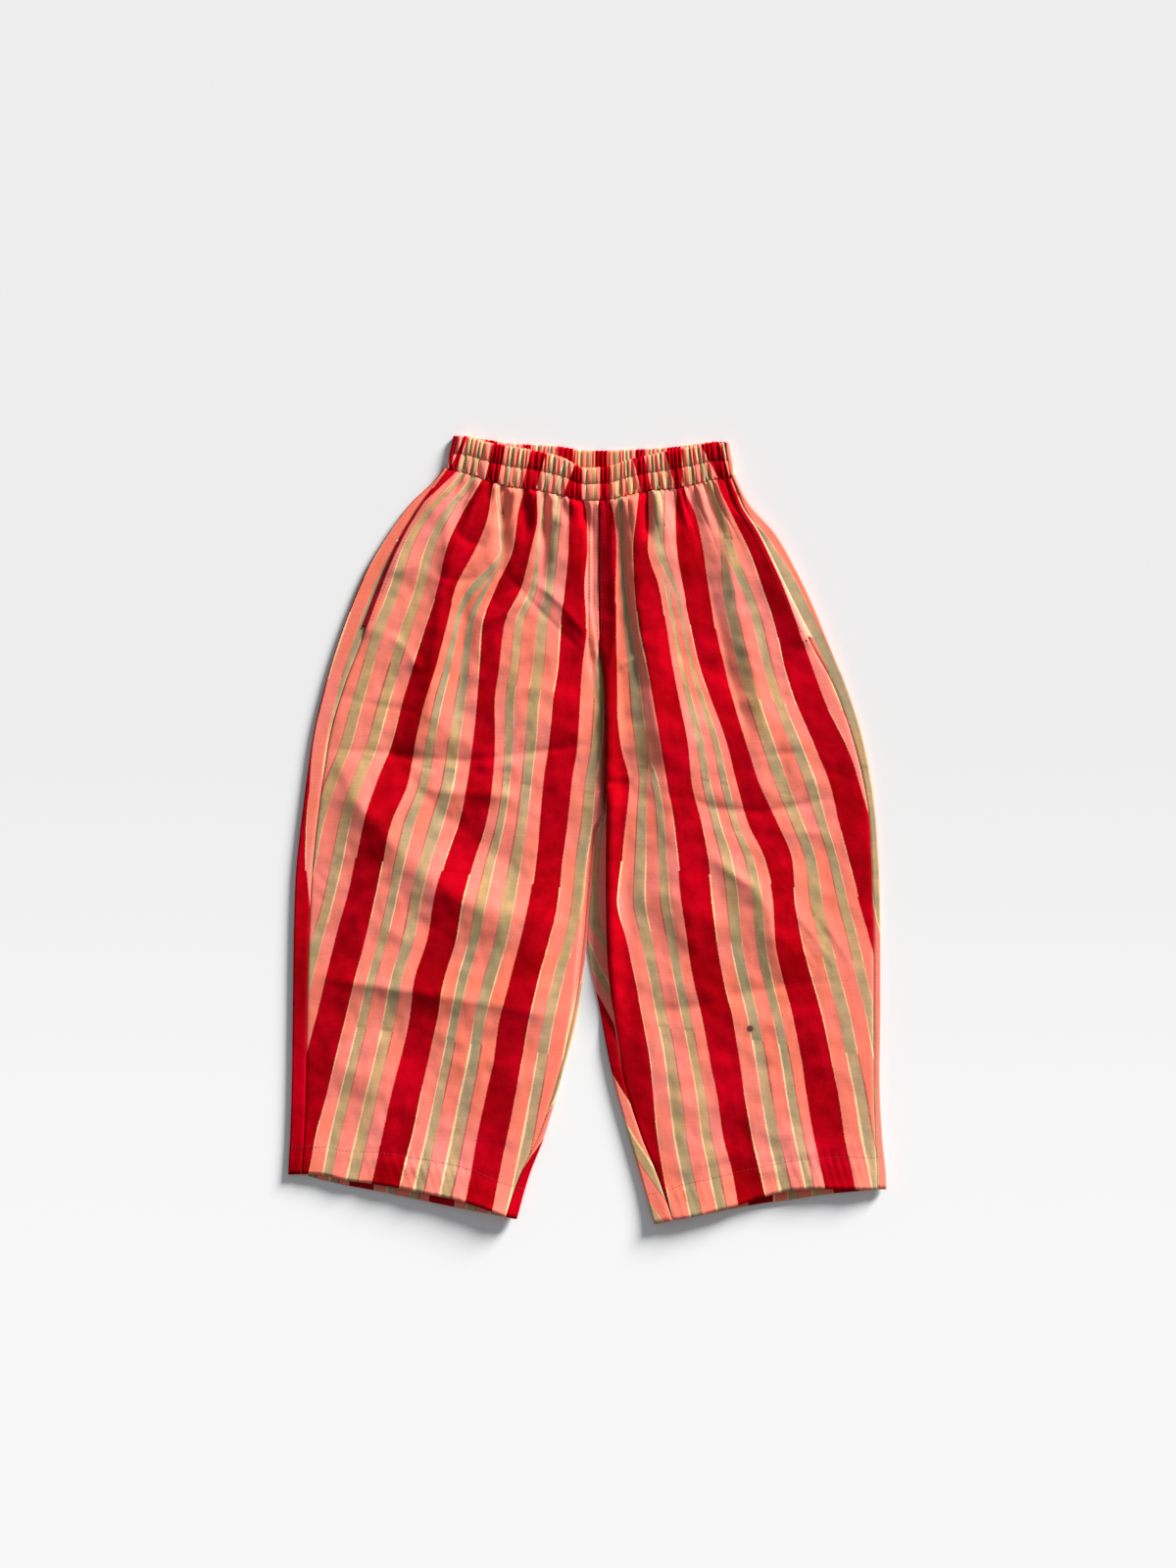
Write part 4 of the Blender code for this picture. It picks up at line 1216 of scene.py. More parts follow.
def front_panel(leg):
    """A grid from the side seam to the inner edge.

    A point lies on the straight line between the two edges at its row, moved along Y by the
    bow of the waist line near the top and by the bow of the hem near the bottom.
    """
    s = steps_across(FRONT_COLUMNS)
    t = steps_down(FRONT_ROWS, ROW_POWER)
    side_top, side_hem = seam_ends(leg, "side_seam", "front", "low")
    inner_top, inner_hem = seam_ends(leg, "inseam", "front", "low")
    side_y = blend(side_top, side_hem, t)
    inner_y = blend(inner_top, inner_hem, t)
    side_x = leg_line(leg, "side_seam", side_y) - leg["side"] * SEAM_GAP / 2
    inner_x = leg_line(leg, "inseam", inner_y) + leg["side"] * SEAM_GAP / 2
    x = blend(side_x, inner_x, s)
    top_bow = waist_line("low", x[:1]) - SEAM_GAP - blend(side_top, inner_top, s)
    hem_bow = hem_line(leg, "front", x[-1:]) - blend(side_hem, inner_hem, s)
    y = blend(side_y, inner_y, s) + (1 - t) * top_bow + t * hem_bow
    z = cloth_height(leg, x, y) + pocket_lift(leg, x, y)
    y = y - scallop(waist_share(leg, x, y), np.maximum(waist_line("low", x) - y, 0.0))
    return x, y, z


for word, leg in (("right", RIGHT), ("left", LEFT)):
    grid = front_panel(leg)
    places = (PRINT_REPEAT * front_print(leg, grid[0], grid[1]), grid[1])
    turned = leg["side"] < 0
    front = add_cloth(f"{word}_front_cloth", grid, places, turned, CLOTH_WALL, printed_cotton)
    dress(f"{word}_front_leg")
    leg["front_piece"] = front

# %% [markdown]
# ## Back panels
#
# A back panel is the lower layer. It starts at the side seam on the upper face, rolls over the
# leg's side, lies flat on the surface and, below the crotch, rolls up again to the inseam. A
# half circle makes each roll, and above the crotch the inner roll is unrolled flat to the
# centre back seam. Its stripes are given at the two folds, and follow the cloth between them.

# %% The back panels' surface
UNDER_SHARE = 0.3  # of the upper layer's creases, which press through a little
UNDER_SHIFT = 9.0
UNDER_WAVE_SHIFT = 300.0  # so that the under layer's waves aren't the upper layer's
UNDER_SOFTNESS = 0.5
UNDER_EDGES = (0.15, 0.05)  # shares of the width and the length over which its arches grow
CROTCH_SLACK = -0.4  # how much further the panels part, or overlap, where they start to roll
CROTCH_SLACK_REACH = 60.0
ROLL_STRIP = 1.0  # cloth past the roll where the seam lies on the fold itself
PRINT_OVERRUN = 10.0  # mm of print carried on past each fold at its even pitch
STRIP_COLUMNS = 16
ROLL_COLUMNS = 12
SEAT_COLUMNS = 56
BACK_ROWS = 180
# y, and the place in the print at the outer fold and at the inner fold, in repeats
RIGHT["outer_print"] = (
    (400, 1.035), (293, 1.035), (227, 1.036), (95, 1.042), (46, 1.068), (5, 1.089),
    (-55, 1.14), (-114, 1.20), (-445, 1.22),
)
RIGHT["inner_print"] = (
    (400, 4.50), (60, 4.52), (0, 4.57), (-59, 4.64), (-110, 4.64), (-158, 4.57), (-290, 4.47),
    (-305, 4.44), (-338, 4.31), (-378, 4.2), (-445, 4.1),
)
LEFT["outer_print"] = (
    (400, 0.30), (315, 0.33), (293, 0.36), (249, 0.38), (205, 0.42), (161, 0.44),
    (117, 0.455), (-60, 0.465), (-90, 0.50), (-125, 0.57), (-180, 0.62), (-225, 0.66),
    (-300, 0.68), (-445, 0.61),
)
LEFT["inner_print"] = (
    (400, -3.5), (0, -3.5), (-59, -3.48), (-110, -3.4), (-125, -3.25), (-155, -3.14),
    (-183, -3.0), (-272, -2.69), (-319, -2.54), (-360, -2.42), (-408, -2.25), (-445, -2.12),
)


def under_relief(leg, x, y, s, t):
    """Soft arches of the under layer, which still rests on the surface between them."""
    pressed = UNDER_SHARE * crease_heights(leg, x + UNDER_SHIFT, y)
    lifted = pressed + cloth_waves(x + UNDER_WAVE_SHIFT, y)
    across, down = UNDER_EDGES
    inside = ease(s / across) * ease((1 - s) / across) * ease(t / down) * ease((1 - t) / down)
    return inside * UNDER_SOFTNESS * np.logaddexp(0.0, lifted / UNDER_SOFTNESS - 1)


def back_panel(leg):
    """A grid from the side seam round to the inseam, and the columns of its two folds."""
    side = leg["side"]
    t = steps_down(BACK_ROWS, ROW_POWER)
    fold_top, fold_hem = seam_ends(leg, "outer_fold", "back", "back_low")
    side_top, side_hem = seam_ends(leg, "side_seam", "front", "low")
    inner_top, inner_hem = seam_ends(leg, "inner_fold", "back", "back_low")
    seam_top, seam_hem = seam_ends(leg, "inseam", "front", "low")
    fold_y = blend(fold_top, fold_hem, t)
    inner_y = blend(inner_top, inner_hem, t)
    side_y = blend(side_top, side_hem, t)
    seam_y = blend(seam_top, seam_hem, t)

    # Outer strip, from the side seam to the top of the roll
    s = steps_across(STRIP_COLUMNS)
    radius = fold_radius(fold_y)
    roll_x = leg_line(leg, "outer_fold", fold_y) - side * radius
    strip_x = blend(leg_line(leg, "side_seam", side_y) + side * SEAM_GAP / 2, roll_x, s)
    strip_y = blend(side_y, fold_y, s)
    roll_top = 2 * radius + hem_curl(leg, roll_x, fold_y)
    strip_z = blend(cloth_height(leg, strip_x, strip_y), roll_top, s**4)

    # Outer roll, a half circle from the top to the surface
    angle = np.pi * steps_across(ROLL_COLUMNS)[:, 1:]
    arc_x = roll_x + side * radius * roll_reach(angle)
    arc_y = fold_y + 0 * angle
    arc_z = radius * (1 + np.cos(angle)) + hem_curl(leg, roll_x, fold_y)

    # Seat, flat on the surface
    inner_radius = fold_radius(inner_y)
    inner_fold_x = leg_line(leg, "inner_fold", inner_y)
    inseam_x = leg_line(leg, "inseam", seam_y) - side * SEAM_GAP / 2
    rolled = ease((CROTCH_Y - inner_y) / (2 * CROTCH_REACH) + 0.5)
    inner_roll_x = inner_fold_x + side * inner_radius
    slack = CROTCH_SLACK * bell(inner_y - CROTCH_Y, CROTCH_SLACK_REACH)
    seat_seam_x = inner_fold_x + side * (SEAM_GAP / 2 + slack)
    flat_roll_x = seat_seam_x + side * (np.pi * inner_radius + ROLL_STRIP)
    inner_start_x = blend(flat_roll_x, inner_roll_x, rolled)
    s = steps_across(SEAT_COLUMNS)[:, 1:]
    seat_x = blend(roll_x, inner_start_x, s)
    top_bow = waist_line("back_low", seat_x[:1]) - SEAM_GAP - blend(fold_top, inner_top, s)
    hem_bow = hem_line(leg, "back", seat_x[-1:]) - blend(fold_hem, inner_hem, s)
    seat_y = blend(fold_y, inner_y, s) + (1 - t) * top_bow + t * hem_bow
    seat_z = hem_curl(leg, seat_x, seat_y) + under_relief(leg, seat_x, seat_y, s, t)

    # Inner roll and strip, rolled up below the crotch and flat above it
    rolled_x = inner_roll_x - side * inner_radius * roll_reach(angle)
    flat_x = flat_roll_x - side * inner_radius * angle
    in_arc_x = blend(flat_x, rolled_x, rolled)
    in_arc_y = inner_y + 0 * angle
    curl = hem_curl(leg, inner_roll_x, inner_y)
    roll_height = cloth_height(leg, inner_roll_x, inner_y) - curl
    in_arc_z = curl + rolled * roll_height * (1 - np.cos(angle)) / 2
    s = steps_across(STRIP_COLUMNS)[:, 1:]
    rolled_x = blend(inner_roll_x, inseam_x, s)
    flat_x = seat_seam_x + side * ROLL_STRIP * (1 - s)
    in_strip_x = blend(flat_x, rolled_x, rolled)
    in_strip_y = blend(inner_y, blend(inner_y, seam_y, rolled), s)
    in_strip_z = blend(curl, cloth_height(leg, rolled_x, in_strip_y), rolled)

    x = np.hstack([strip_x, arc_x, seat_x, in_arc_x, in_strip_x])
    y = np.hstack([strip_y, arc_y, seat_y, in_arc_y, in_strip_y])
    z = np.hstack([strip_z, arc_z, seat_z, in_arc_z, in_strip_z])
    outer_column = STRIP_COLUMNS + ROLL_COLUMNS // 2
    inner_column = STRIP_COLUMNS + ROLL_COLUMNS + SEAT_COLUMNS + ROLL_COLUMNS // 2
    return (x, y, z), outer_column, inner_column


def back_print(leg, grid, outer_column, inner_column):
    """Place across the print: the length of cloth along each row, scaled between the folds."""
    steps = np.hypot(np.hypot(np.diff(grid[0]), np.diff(grid[1])), np.diff(grid[2]))
    walked = np.hstack([np.zeros((len(steps), 1)), np.cumsum(steps, axis=1)])
    outer_walk, inner_walk = walked[:, [outer_column]], walked[:, [inner_column]]
    outer = smooth_curve(grid[1][:, [outer_column]], leg["outer_print"])
    inner = smooth_curve(grid[1][:, [inner_column]], leg["inner_print"])
    onward = PRINT_OVERRUN * np.sign(inner - outer) / PRINT_REPEAT
    knots = [outer_walk - PRINT_OVERRUN, outer_walk, inner_walk, inner_walk + PRINT_OVERRUN]
    values = [outer - onward, outer, inner, inner + onward]
    return through_knots(walked, knots, values)


for word, leg in (("right", RIGHT), ("left", LEFT)):
    grid, outer_column, inner_column = back_panel(leg)
    places = (PRINT_REPEAT * back_print(leg, grid, outer_column, inner_column), grid[1])
    turned = leg["side"] > 0
    back = add_cloth(f"{word}_back_cloth", grid, places, turned, CLOTH_WALL, printed_cotton)
    dress(f"{word}_back_leg")
    leg["back_piece"] = back

# %% [markdown]
# ## Pocket facings
#
# Inside each pocket mouth lies a strip of cloth that the hand slides over. Only a few
# millimetres of it show beside the edge of the front panel: crimson on one side and pale on
# the other.

# %% Pocket facings
FACING_WALL = 0.5
FACING_OVER = 1.3  # how far its outer edge stands over the back panel
FACING_SINK = 2.2  # how far its inner edge has sunk
FACING_ROWS = 60
FACING_COLUMNS = 12


def pocket_facing(leg):
    """A strip along the mouth, which sinks from its outer edge towards the leg."""
    top, bottom, shows_top, shows_bottom, inside = leg["pocket"]
    s = steps_across(FACING_COLUMNS)
    t = steps_down(FACING_ROWS)
    y = blend(top, bottom, t) + 0 * s
    inward = blend(-blend(shows_top, shows_bottom, t), inside, s)
    x = leg_line(leg, "side_seam", y) - leg["side"] * inward
    z = top_height(leg, x, y) + FACING_OVER - FACING_SINK * np.maximum(inward, 0.0) / inside
    return x, y, z


for word, leg, cloth in (("right", RIGHT, crimson_cotton), ("left", LEFT, pale_cotton)):
    grid = pocket_facing(leg)
    facing = add_cloth(f"{word}_facing_cloth", grid, grid[:2], leg["side"] < 0, FACING_WALL, cloth)
    dress(f"{word}_pocket_facing")
    leg["facing_piece"] = facing

# %% [markdown]
# ## The gathered casings
#
# The waistband is a tunnel of cloth with elastic inside, crossed by a row of stitches halfway
# up, so it puffs out in two channels and is pinched between them. The front one is a loft: a
# face with ridges and valleys, a smoother underside and a rim round the edge. The back one is
# built in the same way, with both ends rolled up to meet the front.

# %% Channels and edges
CASING_COLUMNS = 816
CASING_STEPS = 36
MIDDLE_ROW = 0.5  # the row of stitches halfway up
CHANNEL_PUFF = 2.4
CHANNEL_DEPTH = 5.2  # of the valleys in the middle of a channel
CHANNEL_POWER = 0.6
WIDENING = 0.8  # how far the lower channel's fine ridges merge into wide ones
WIDE_START, WIDE_END, WIDE_FADE = 0.12, 0.56, 0.14  # of the height
TOP_ROUND = 0.06  # the share of the height over which the top edge turns over
FRONT_UNDERSIDE = 3.6
EDGE_THICKNESS = 0.4  # of the top edge, where the face meets the underside
TOP_EDGE_WAVE = 1.8  # how far the ridges stand over the valleys along the top edge
TOP_EDGE_POWER = 4  # so that the wave fades quickly below the edge
CASING_INSET = WAIST_FOLD_RADIUS + ROLL_STRIP + SEAM_GAP  # of the front one, past the roll


def channel(v):
    """0 at the stitches and at the edges, and 1 in the middle of each channel."""
    place = np.where(v < MIDDLE_ROW, v / MIDDLE_ROW, (v - MIDDLE_ROW) / (1 - MIDDLE_ROW))
    return np.abs(np.sin(np.pi * place)) ** CHANNEL_POWER


def turned_edge(v):
    """1 over the face and down to 0 at the folded top edge, as a quarter of an ellipse."""
    past = np.clip((v - 1 + TOP_ROUND) / TOP_ROUND, 0.0, 1.0)
    return np.sqrt(1 - past**2)


def casing_relief(share, v, flat_fly):
    """Height of a gathered face over a row of stitches, which is 0 on a ridge."""
    fine = gather_ridges(share, flat_fly=flat_fly)
    wide = gather_ridges(share + PUFF_OFFSET, WIDE_GATHERS, flat_fly)
    widened = ease(v / WIDE_START) * ease((WIDE_END - v) / WIDE_FADE)
    ridges = blend(fine, wide, WIDENING * widened)
    puffed = channel(v)
    deep = PINCH_DEPTH + (CHANNEL_DEPTH - PINCH_DEPTH) * puffed
    return CHANNEL_PUFF * puffed - deep * (1 - ridges)


# %% The front casing
# x of places on the print, low on the casing and near its top, with the place in repeats
CASING_PRINT = (
    (-162.0, -153.0, -1.95),
    (-158.8, -149.0, -1.70),
    (-158.0, -148.2, -1.14),
    (-151.0, -141.9, -0.99),
    (-144.8, -137.5, -0.69),
    (-141.9, -134.2, -0.54),
    (-134.2, -127.6, -0.42),
    (-129.8, -123.2, -0.25),
    (-124.3, -116.6, -0.14),
    (-113.3, -107.8, 0.0),
    (-97.9, -93.5, 0.31),
    (-71.5, -64.9, 1.0),
    (-55.0, -48.4, 1.31),
    (-24.2, -16.5, 2.0),
    (-6.6, -6.6, 2.31),
    (13.2, 13.2, 3.0),
    (24.2, 24.2, 3.31),
    (57.2, 51.7, 4.0),
    (69.3, 64.9, 4.31),
    (94.6, 88.0, 5.0),
    (105.6, 105.6, 5.31),
    (140.8, 129.8, 6.0),
    (156.2, 149.6, 6.31),
    (161.7, 151.8, 6.46),
    (166.1, 158.4, 6.58),
)
PRINT_LOW, PRINT_HIGH = 0.25, 0.8


def casing_print(x, v):
    """Place across the print, from knots that lean with the casing."""
    lean = (v - PRINT_LOW) / (PRINT_HIGH - PRINT_LOW)
    knots = [blend(low, high, lean) + 0 * x for low, high, _ in CASING_PRINT]
    return through_knots(x, knots, [place for _, _, place in CASING_PRINT])


def casing_face(s, v):
    """x, y and z of the gathered face at shares of its width and height, and the gather share.

    x and y run in straight lines between the casing's ends and edges, and the puffs push the
    lower edge down.
    """
    (left_low, left_top), (right_low, right_top) = CASING_ENDS
    left_x = blend(left_low, left_top, v) + CASING_INSET
    right_x = blend(right_low, right_top, v) - CASING_INSET
    x = blend(left_x, right_x, s)
    share = gather_share(blend(left_low + CASING_INSET, right_low - CASING_INSET, s))
    low, top = waist_line("low", x), waist_line("front_top", x)
    y = blend(low, top, v) - scallop(share, (top - low) * v)
    return x, y, PINCH_HEIGHT + casing_relief(share, v, True), share


def front_casing():
    """The front casing's face and underside, from one side seam to the other."""
    v = steps_down(CASING_STEPS)
    x, y, face, share = casing_face(steps_across(CASING_COLUMNS), v)
    y = y + TOP_EDGE_WAVE * (gather_ridges(share) - 0.5) * v**TOP_EDGE_POWER
    outer_z = blend(FRONT_UNDERSIDE + EDGE_THICKNESS, face, turned_edge(v))
    inner_z = np.full_like(outer_z, FRONT_UNDERSIDE)
    return (x, y, outer_z), (x, y, inner_z), v


def edge_loop(rows, columns):
    """The numbers of a grid's edge points, once round."""
    index = np.arange(rows * columns).reshape(rows, columns)
    sides = [index[0, :-1], index[:-1, -1], index[-1, :0:-1], index[:0:-1, 0]]
    return np.concatenate(sides)


def add_casing(name, outer, inner, places, flip):
    """A loft between a casing's face and its other side, closed by a rim round the edge."""
    shape = rows, columns = outer[0].shape
    count = rows * columns
    points = np.vstack([as_points(outer, shape), as_points(inner, shape)])
    flat = as_points(places, shape)
    loop = edge_loop(rows, columns)
    onward = np.roll(loop, -1)
    rim = np.stack([loop, loop + count, onward + count, onward], axis=1)
    other_side = grid_faces(rows, columns, count)[:, ::-1]
    faces = np.vstack([grid_faces(rows, columns), other_side, rim])
    if flip:
        faces = faces[:, ::-1]
    return add_mesh(name, points, faces.tolist(), np.vstack([flat, flat]), printed_cotton)


outer, inner, v = front_casing()
places = (PRINT_REPEAT * casing_print(outer[0], v), outer[1])
front_band = add_casing("front_band_cloth", outer, inner, places, False)
dress("front_waistband")

# %% [markdown]
# ## The back casing
#
# It lies under the front one and shows as a strip above the front's dipped edge, with its
# inner face towards the camera. Both of its ends roll up at the sides as far as the side
# seams, as the back panels do. So each face is one long row: a strip, a half circle, the flat
# gathered stretch, a half circle and a strip.

# %% The back casing
CASING_THICK = 2.4
BACK_RIPPLE = 0.7  # of the underside
BACK_PUFF = 0.55  # how much flatter the lower casing's gathers are than the upper one's
BACK_SINK = 0.2
BACK_FLAT_ENDS = 0.02  # share of the width over which the gathers grow from the rolled ends
# x, and the place in the print, in repeats
BACK_CASING_PRINT = (
    (-156.0, -1.0), (-72.6, 1.0), (-63.8, 1.31), (-34.1, 2.0), (-15.4, 2.31), (7.7, 3.0),
    (22.0, 3.31), (52.8, 4.0), (63.8, 4.31), (88.0, 5.0), (160.0, 6.4),
)


def back_casing():
    """The back casing's underside and inner face, with both ends rolled up to the side seams."""
    v = steps_down(CASING_STEPS)
    (left_low, left_top), (right_low, right_top) = CASING_ENDS
    left_x = blend(left_low, left_top, v)
    right_x = blend(right_low, right_top, v)
    radius = WAIST_FOLD_RADIUS
    angle = np.pi * steps_across(ROLL_COLUMNS)
    s = steps_across(CASING_COLUMNS)[:, 1:-1]
    share = 1.02 * s - 0.01
    ridges = gather_ridges(share, flat_fly=False)

    def wall(size, ripple_z):
        """One face of the casing, at this distance from the middle of its rolls."""
        left_strip = left_x + radius + ROLL_STRIP
        left_roll = left_x + radius - size * roll_reach(angle)
        right_roll = right_x - radius + size * roll_reach(angle)
        right_strip = right_x - radius - ROLL_STRIP
        flat_x = blend(left_x + radius, right_x - radius, s)
        x = np.hstack([left_strip, left_roll, flat_x, right_roll[:, ::-1], right_strip])
        arc_z = radius + size * np.cos(angle) + 0 * v
        strip_z = radius + size + 0 * v
        flat_z = radius - size + ripple_z + 0 * flat_x
        z = np.hstack([strip_z, arc_z, flat_z, arc_z[:, ::-1], strip_z])
        return x, z

    puffed = BACK_PUFF * (casing_relief(share, v, False) + PINCH_DEPTH)
    flatness = ease(np.minimum(s, 1 - s) / BACK_FLAT_ENDS)
    under_z = BACK_RIPPLE * (1 - ridges) * flatness
    inner_z = (puffed - BACK_SINK) * flatness * turned_edge(v)
    outer_x, outer_z = wall(radius, under_z)
    inner_x, inner_z = wall(radius - CASING_THICK, inner_z)
    wave = np.zeros_like(outer_x)
    first = 2 + ROLL_COLUMNS
    wave[:, first : first + ridges.shape[1]] = ridges - 0.5
    result = []
    for x, z in ((outer_x, outer_z), (inner_x, inner_z)):
        y = blend(waist_line("back_low", x), waist_line("back_top", x), v)
        result.append((x, y + TOP_EDGE_WAVE * wave * v**TOP_EDGE_POWER, z))
    return result


outer, inner = back_casing()
knots = [x + 0 * outer[0] for x, _ in BACK_CASING_PRINT]
across = through_knots(outer[0], knots, [place for _, place in BACK_CASING_PRINT])
back_band = add_casing("back_band_cloth", outer, inner, (PRINT_REPEAT * across, outer[1]), True)
dress("back_waistband")

# %% [markdown]
# ## Stitches
#
# Burgundy thread shows at the hems, along the pocket mouths and across the waistband. A stitch
# is a short tube that rises out of the cloth and dives back in, so a row of them is one mesh:
# the same tube at every step along a path that lies on the cloth. A curve with a bevel would
# make one long cord, and an Array modifier would not follow the gathers.

# %% Rows of stitches
STITCH = 2.6
STITCH_GAP = 1.3
STITCH_START = 0.15  # where the first stitch starts, in stitches and gaps
STITCH_RADIUS = 0.25
STITCH_TAPER = 0.45  # share of the radius at a stitch's ends
STITCH_RISE = 0.2
STITCH_SINK = 0.08  # how deep its ends lie in the cloth
STITCH_SIDES = 6
STITCH_RINGS = 5
TANGENT_STEP = 0.3
TINY = 1e-9  # keeps a vector of no length from being divided by nothing


def along_path(path, walked, at):
    """The points of a path at distances along it, in straight lines between its own points."""
    return np.stack([np.interp(at, walked, path[:, k]) for k in range(3)], axis=-1)


def unit(vectors):
    """Each vector divided by its length."""
    return vectors / (np.linalg.norm(vectors, axis=-1, keepdims=True) + TINY)


def stitch_points(path, start, stitch, gap):
    """Points and faces of the stitches along a path of x, y, z points in millimetres.

    Each stitch is a tube of rings square to the path. Its middle line rises as half a sine
    wave, and its radius swells in the same way.
    """
    walked = np.concatenate([[0], np.cumsum(np.linalg.norm(np.diff(path, axis=0), axis=1))])
    count = max(int(walked[-1] // (stitch + gap)), 1)
    u = steps_across(STITCH_RINGS - 1)
    at = (np.arange(count)[:, None] + STITCH_START) * (stitch + gap) + stitch * u
    ahead = along_path(path, walked, at + TANGENT_STEP)
    tangent = unit(ahead - along_path(path, walked, at - TANGENT_STEP))
    aside = unit(np.cross(tangent, (0.0, 0.0, 1.0)))
    upward = np.cross(aside, tangent)
    hump = np.sin(np.pi * u)[..., None]
    centre = along_path(path, walked, at) + upward * (STITCH_RISE * hump - STITCH_SINK)
    radius = STITCH_RADIUS * blend(STITCH_TAPER, 1.0, hump)
    turn = 2 * np.pi * np.arange(STITCH_SIDES) / STITCH_SIDES
    round_x, round_z = np.cos(turn)[:, None], np.sin(turn)[:, None]
    ring = aside[:, :, None] * round_x + upward[:, :, None] * round_z
    points = centre[:, :, None] + radius[:, :, None] * ring
    ring_index = np.arange(STITCH_RINGS * STITCH_SIDES).reshape(STITCH_RINGS, STITCH_SIDES)
    onward = np.roll(ring_index, -1, axis=1)
    quads = np.stack([ring_index[:-1], ring_index[1:], onward[1:], onward[:-1]], axis=-1)
    offsets = start + np.arange(count)[:, None, None] * (STITCH_RINGS * STITCH_SIDES)
    quads = (quads.reshape(-1, 4) + offsets).reshape(-1, 4)
    caps = np.stack([ring_index[0], ring_index[-1, ::-1]])
    caps = (caps + offsets).reshape(-1, STITCH_SIDES)
    return points.reshape(-1, 3), quads, caps


def add_stitches(name, paths, stitch=STITCH, gap=STITCH_GAP):
    """One mesh of all the stitches along several paths."""
    points, faces = [], []
    start = 0
    for path in paths:
        part, quads, caps = stitch_points(path, start, stitch, gap)
        points.append(part)
        faces += quads.tolist() + caps.tolist()
        start += len(part)
    add_mesh(name, np.vstack(points), faces, None, burgundy_thread)
    print(f"{name}: {start // (STITCH_RINGS * STITCH_SIDES)} stitches")


# %% Hem and pocket stitches
PATH_STEPS = 240
# x and y along the row of stitches over each hem
RIGHT["hem_stitches"] = (
    (-334, -356), (-293, -356), (-273, -360), (-235, -362), (-201, -367), (-173, -371),
    (-130, -382), (-101, -394), (-83, -400),
)
LEFT["hem_stitches"] = (
    (67, -409), (87, -405), (107, -398), (143, -390), (176, -382), (204, -376), (229, -371),
    (259, -368), (294, -367), (317, -368), (333, -365),
)
TOPSTITCH_INSET = 4.5  # from the pocket's mouth
TOPSTITCH_ENDS = (-6, 4)  # how far its ends lie over the mouth's
TACK_STEPS = (-0.35, 0.0, 0.35)  # places of a bar tack's rows, side by side


def on_leg(leg, x, y):
    """A path on the upper face of a leg: the front panel, with its lift at the pocket."""
    inward = -leg["side"] * (x - leg_line(leg, "side_seam", y))
    lift = np.where(inward > 0, pocket_lift(leg, x, y), 0.0)
    return np.stack([x, y, cloth_height(leg, x, y) + lift], axis=1)


def straight_row(leg, start, end):
    """A path on a leg between two points, following the cloth under it."""
    x = np.linspace(start[0], end[0], PATH_STEPS)
    return on_leg(leg, x, np.linspace(start[1], end[1], PATH_STEPS))


def bar_tack(leg, start, end):
    """A short dense bar across a pocket's end: the same line three times, close together."""
    start, end = np.asarray(start, float), np.asarray(end, float)
    run_x, run_y = (end - start) / np.linalg.norm(end - start)
    aside = np.array((-run_y, run_x))
    return [straight_row(leg, start + step * aside, end + step * aside) for step in TACK_STEPS]


# the centre front seam's topstitches, the seam's own row inside a leg, and the bar tacks
RIGHT["rows"] = (
    ((1.5, 362), (1.5, 180)),
    ((10.0, 364), (10.5, 210)),
    ((-40, -309), (-59, -347)),
    ((-59, -347), (-66, -366)),
)
LEFT["rows"] = (((14.5, 362), (15.0, 215)),)
RIGHT["tacks"] = (
    ((-169, 387), (-164, 383)),
    ((-250, 223), (-246, 221)),
    ((-80, -401), (-72, -404)),
)
LEFT["tacks"] = (((243, 212), (248, 209)),)

for word, leg in (("right", RIGHT), ("left", LEFT)):
    knots = np.array(leg["hem_stitches"], float)
    x = np.linspace(knots[0, 0], knots[-1, 0], PATH_STEPS)
    hem_path = on_leg(leg, x, smooth_curve(x, knots))
    top, bottom = leg["pocket"][0] + TOPSTITCH_ENDS[0], leg["pocket"][1] + TOPSTITCH_ENDS[1]
    y = np.linspace(top, bottom, PATH_STEPS)
    x = leg_line(leg, "side_seam", y) - leg["side"] * TOPSTITCH_INSET
    paths = [hem_path, on_leg(leg, x, y)]
    paths += [straight_row(leg, start, end) for start, end in leg["rows"]]
    for start, end in leg["tacks"]:
        paths += bar_tack(leg, start, end)
    add_stitches(f"{word}_leg_stitches", paths)

# %% Waistband stitches
CASING_PATH_STEPS = 1500
LOW_ROW = 0.02  # the row at the casing's lower edge, as a share of its height
WAIST_STITCH = 1.5
WAIST_STITCH_GAP = 3.3


def on_casing(v):
    """A path across the front casing's face at one share of its height."""
    s = np.linspace(0.0, 1.0, CASING_PATH_STEPS)
    return np.stack(casing_face(s, np.full_like(s, v))[:3], axis=1)


waist_rows = [on_casing(LOW_ROW), on_casing(MIDDLE_ROW)]
add_stitches("waistband_stitches", waist_rows, WAIST_STITCH, WAIST_STITCH_GAP)

# %% [markdown]
# ## Each leg's pieces
#
# The front, back and facing pieces of each leg are looked up here, and nothing more is done
# with them. A panel isn't a rectangle, and cotton doesn't stretch. A casing is as long as its
# elastic times the fullness of its gathers.

# %% Sheets
for word, leg in (("right", RIGHT), ("left", LEFT)):
    front, back, facing = leg["front_piece"], leg["back_piece"], leg["facing_piece"]

# %% [markdown]
# ## Floor, light and camera
#
# The garment lies on a plain pale surface. One broad soft light comes in low from the upper
# right, as from a window, and rakes over the folds. The rest is even, slightly cool light from
# all round, which keeps the shadows soft. The camera looks straight down. Its height follows
# from the lens and from how much of the floor the picture takes in.

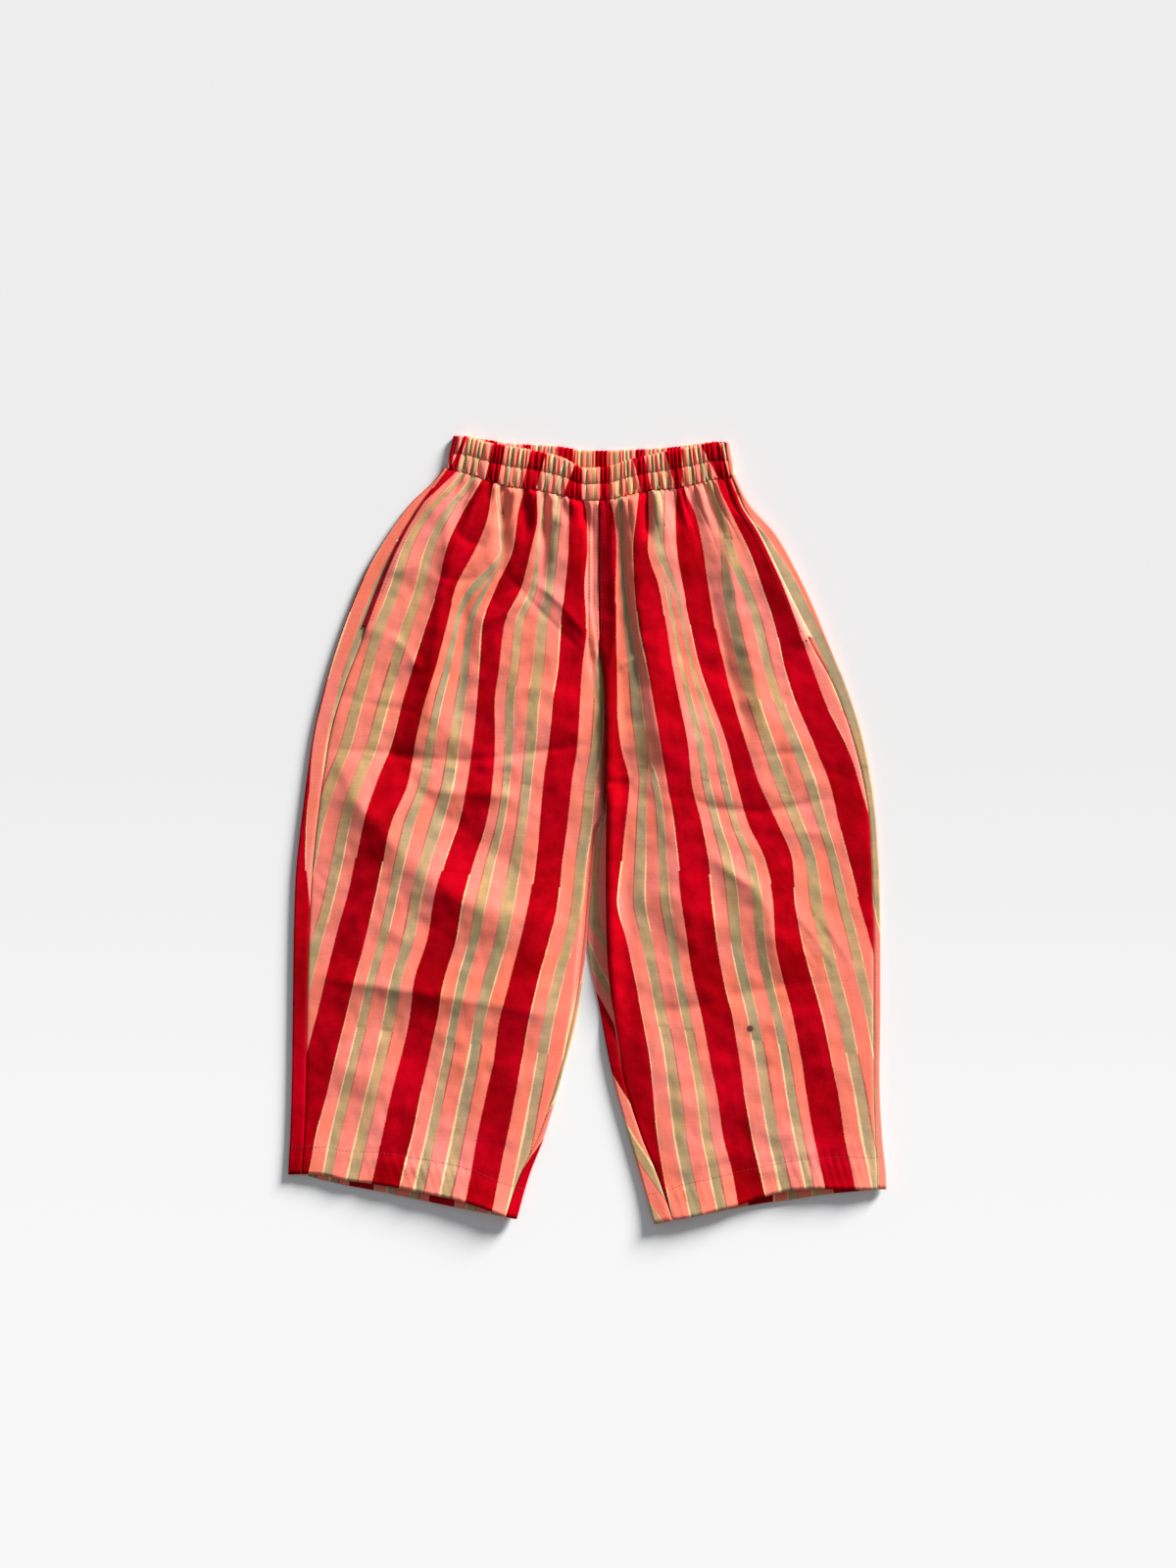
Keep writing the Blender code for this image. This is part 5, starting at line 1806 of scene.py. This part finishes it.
# %% Floor
FLOOR_SIZE = 30.0  # metres to each side, so that no edge shows
FLOOR_DROP = 0.0002  # so that it doesn't coincide with the cloth's underside
FLOOR_TONES = ((0.845, 0.845, 0.845, 1.0), (0.765, 0.765, 0.765, 1.0))  # low and high in the picture
FLOOR_TONE_Y = (-0.5, 0.2)


def add_floor():
    """One large square, a little lighter towards the hems."""
    size = FLOOR_SIZE
    mesh = bpy.data.meshes.new("floor")
    corners = [(-size, -size, 0.0), (size, -size, 0.0), (size, size, 0.0), (-size, size, 0.0)]
    mesh.from_pydata(corners, [], [(0, 1, 2, 3)])
    floor = bpy.data.objects.new("floor", mesh)
    floor.location.z = -FLOOR_DROP
    bpy.context.scene.collection.objects.link(floor)
    material, tree, shader = start_material("pale_floor", 0.9, 0.1)
    place = add_node(tree, "ShaderNodeTexCoord").outputs["Object"]
    height = add_node(tree, "ShaderNodeSeparateXYZ", {0: place}).outputs[1]
    colour = add_mix(tree, "MIX", add_ramp(tree, height, *FLOOR_TONE_Y), *FLOOR_TONES)
    tree.links.new(colour, shader.inputs["Base Color"])
    mesh.materials.append(material)


add_floor()

# %% Light
SKY_COLOUR = (0.93, 0.96, 1.0, 1.0)
SKY_STRENGTH = 0.30
SUN_COLOUR = (1.0, 0.99, 0.975)
SUN_STRENGTH = 8.9
SUN_SOFTNESS = 18.0  # degrees that the light's source spans
SUN_HEIGHT = 17.0  # degrees over the surface
SUN_TURN = 48.0  # degrees from the right towards the top of the picture
world = bpy.data.worlds.new("studio")
world.use_nodes = True
background = world.node_tree.nodes["Background"]
background.inputs["Color"].default_value = SKY_COLOUR
background.inputs["Strength"].default_value = SKY_STRENGTH
bpy.context.scene.world = world

sun = bpy.data.lights.new("window", "SUN")
sun.energy = SUN_STRENGTH
sun.angle = np.radians(SUN_SOFTNESS)
sun.color = SUN_COLOUR
sun_object = bpy.data.objects.new("window", sun)
sun_object.rotation_euler = (0.0, np.radians(90 - SUN_HEIGHT), np.radians(SUN_TURN))
bpy.context.scene.collection.objects.link(sun_object)

# %% Camera
VIEW_HEIGHT = 1.76  # metres of floor from the top to the bottom of the picture
VIEW_CENTRE = (0.0, 0.0506)
LENS = 60.0
SENSOR = 36.0
camera = bpy.data.cameras.new("camera")
camera.lens = LENS
camera.sensor_width = SENSOR
camera_object = bpy.data.objects.new("camera", camera)
camera_object.location = (*VIEW_CENTRE, VIEW_HEIGHT * LENS / SENSOR)
bpy.context.scene.collection.objects.link(camera_object)
bpy.context.scene.camera = camera_object
bpy.context.scene.view_settings.view_transform = "Standard"
bpy.context.scene.view_settings.look = "None"
print(f"camera: {camera_object.location.z:.2f} m over the floor")
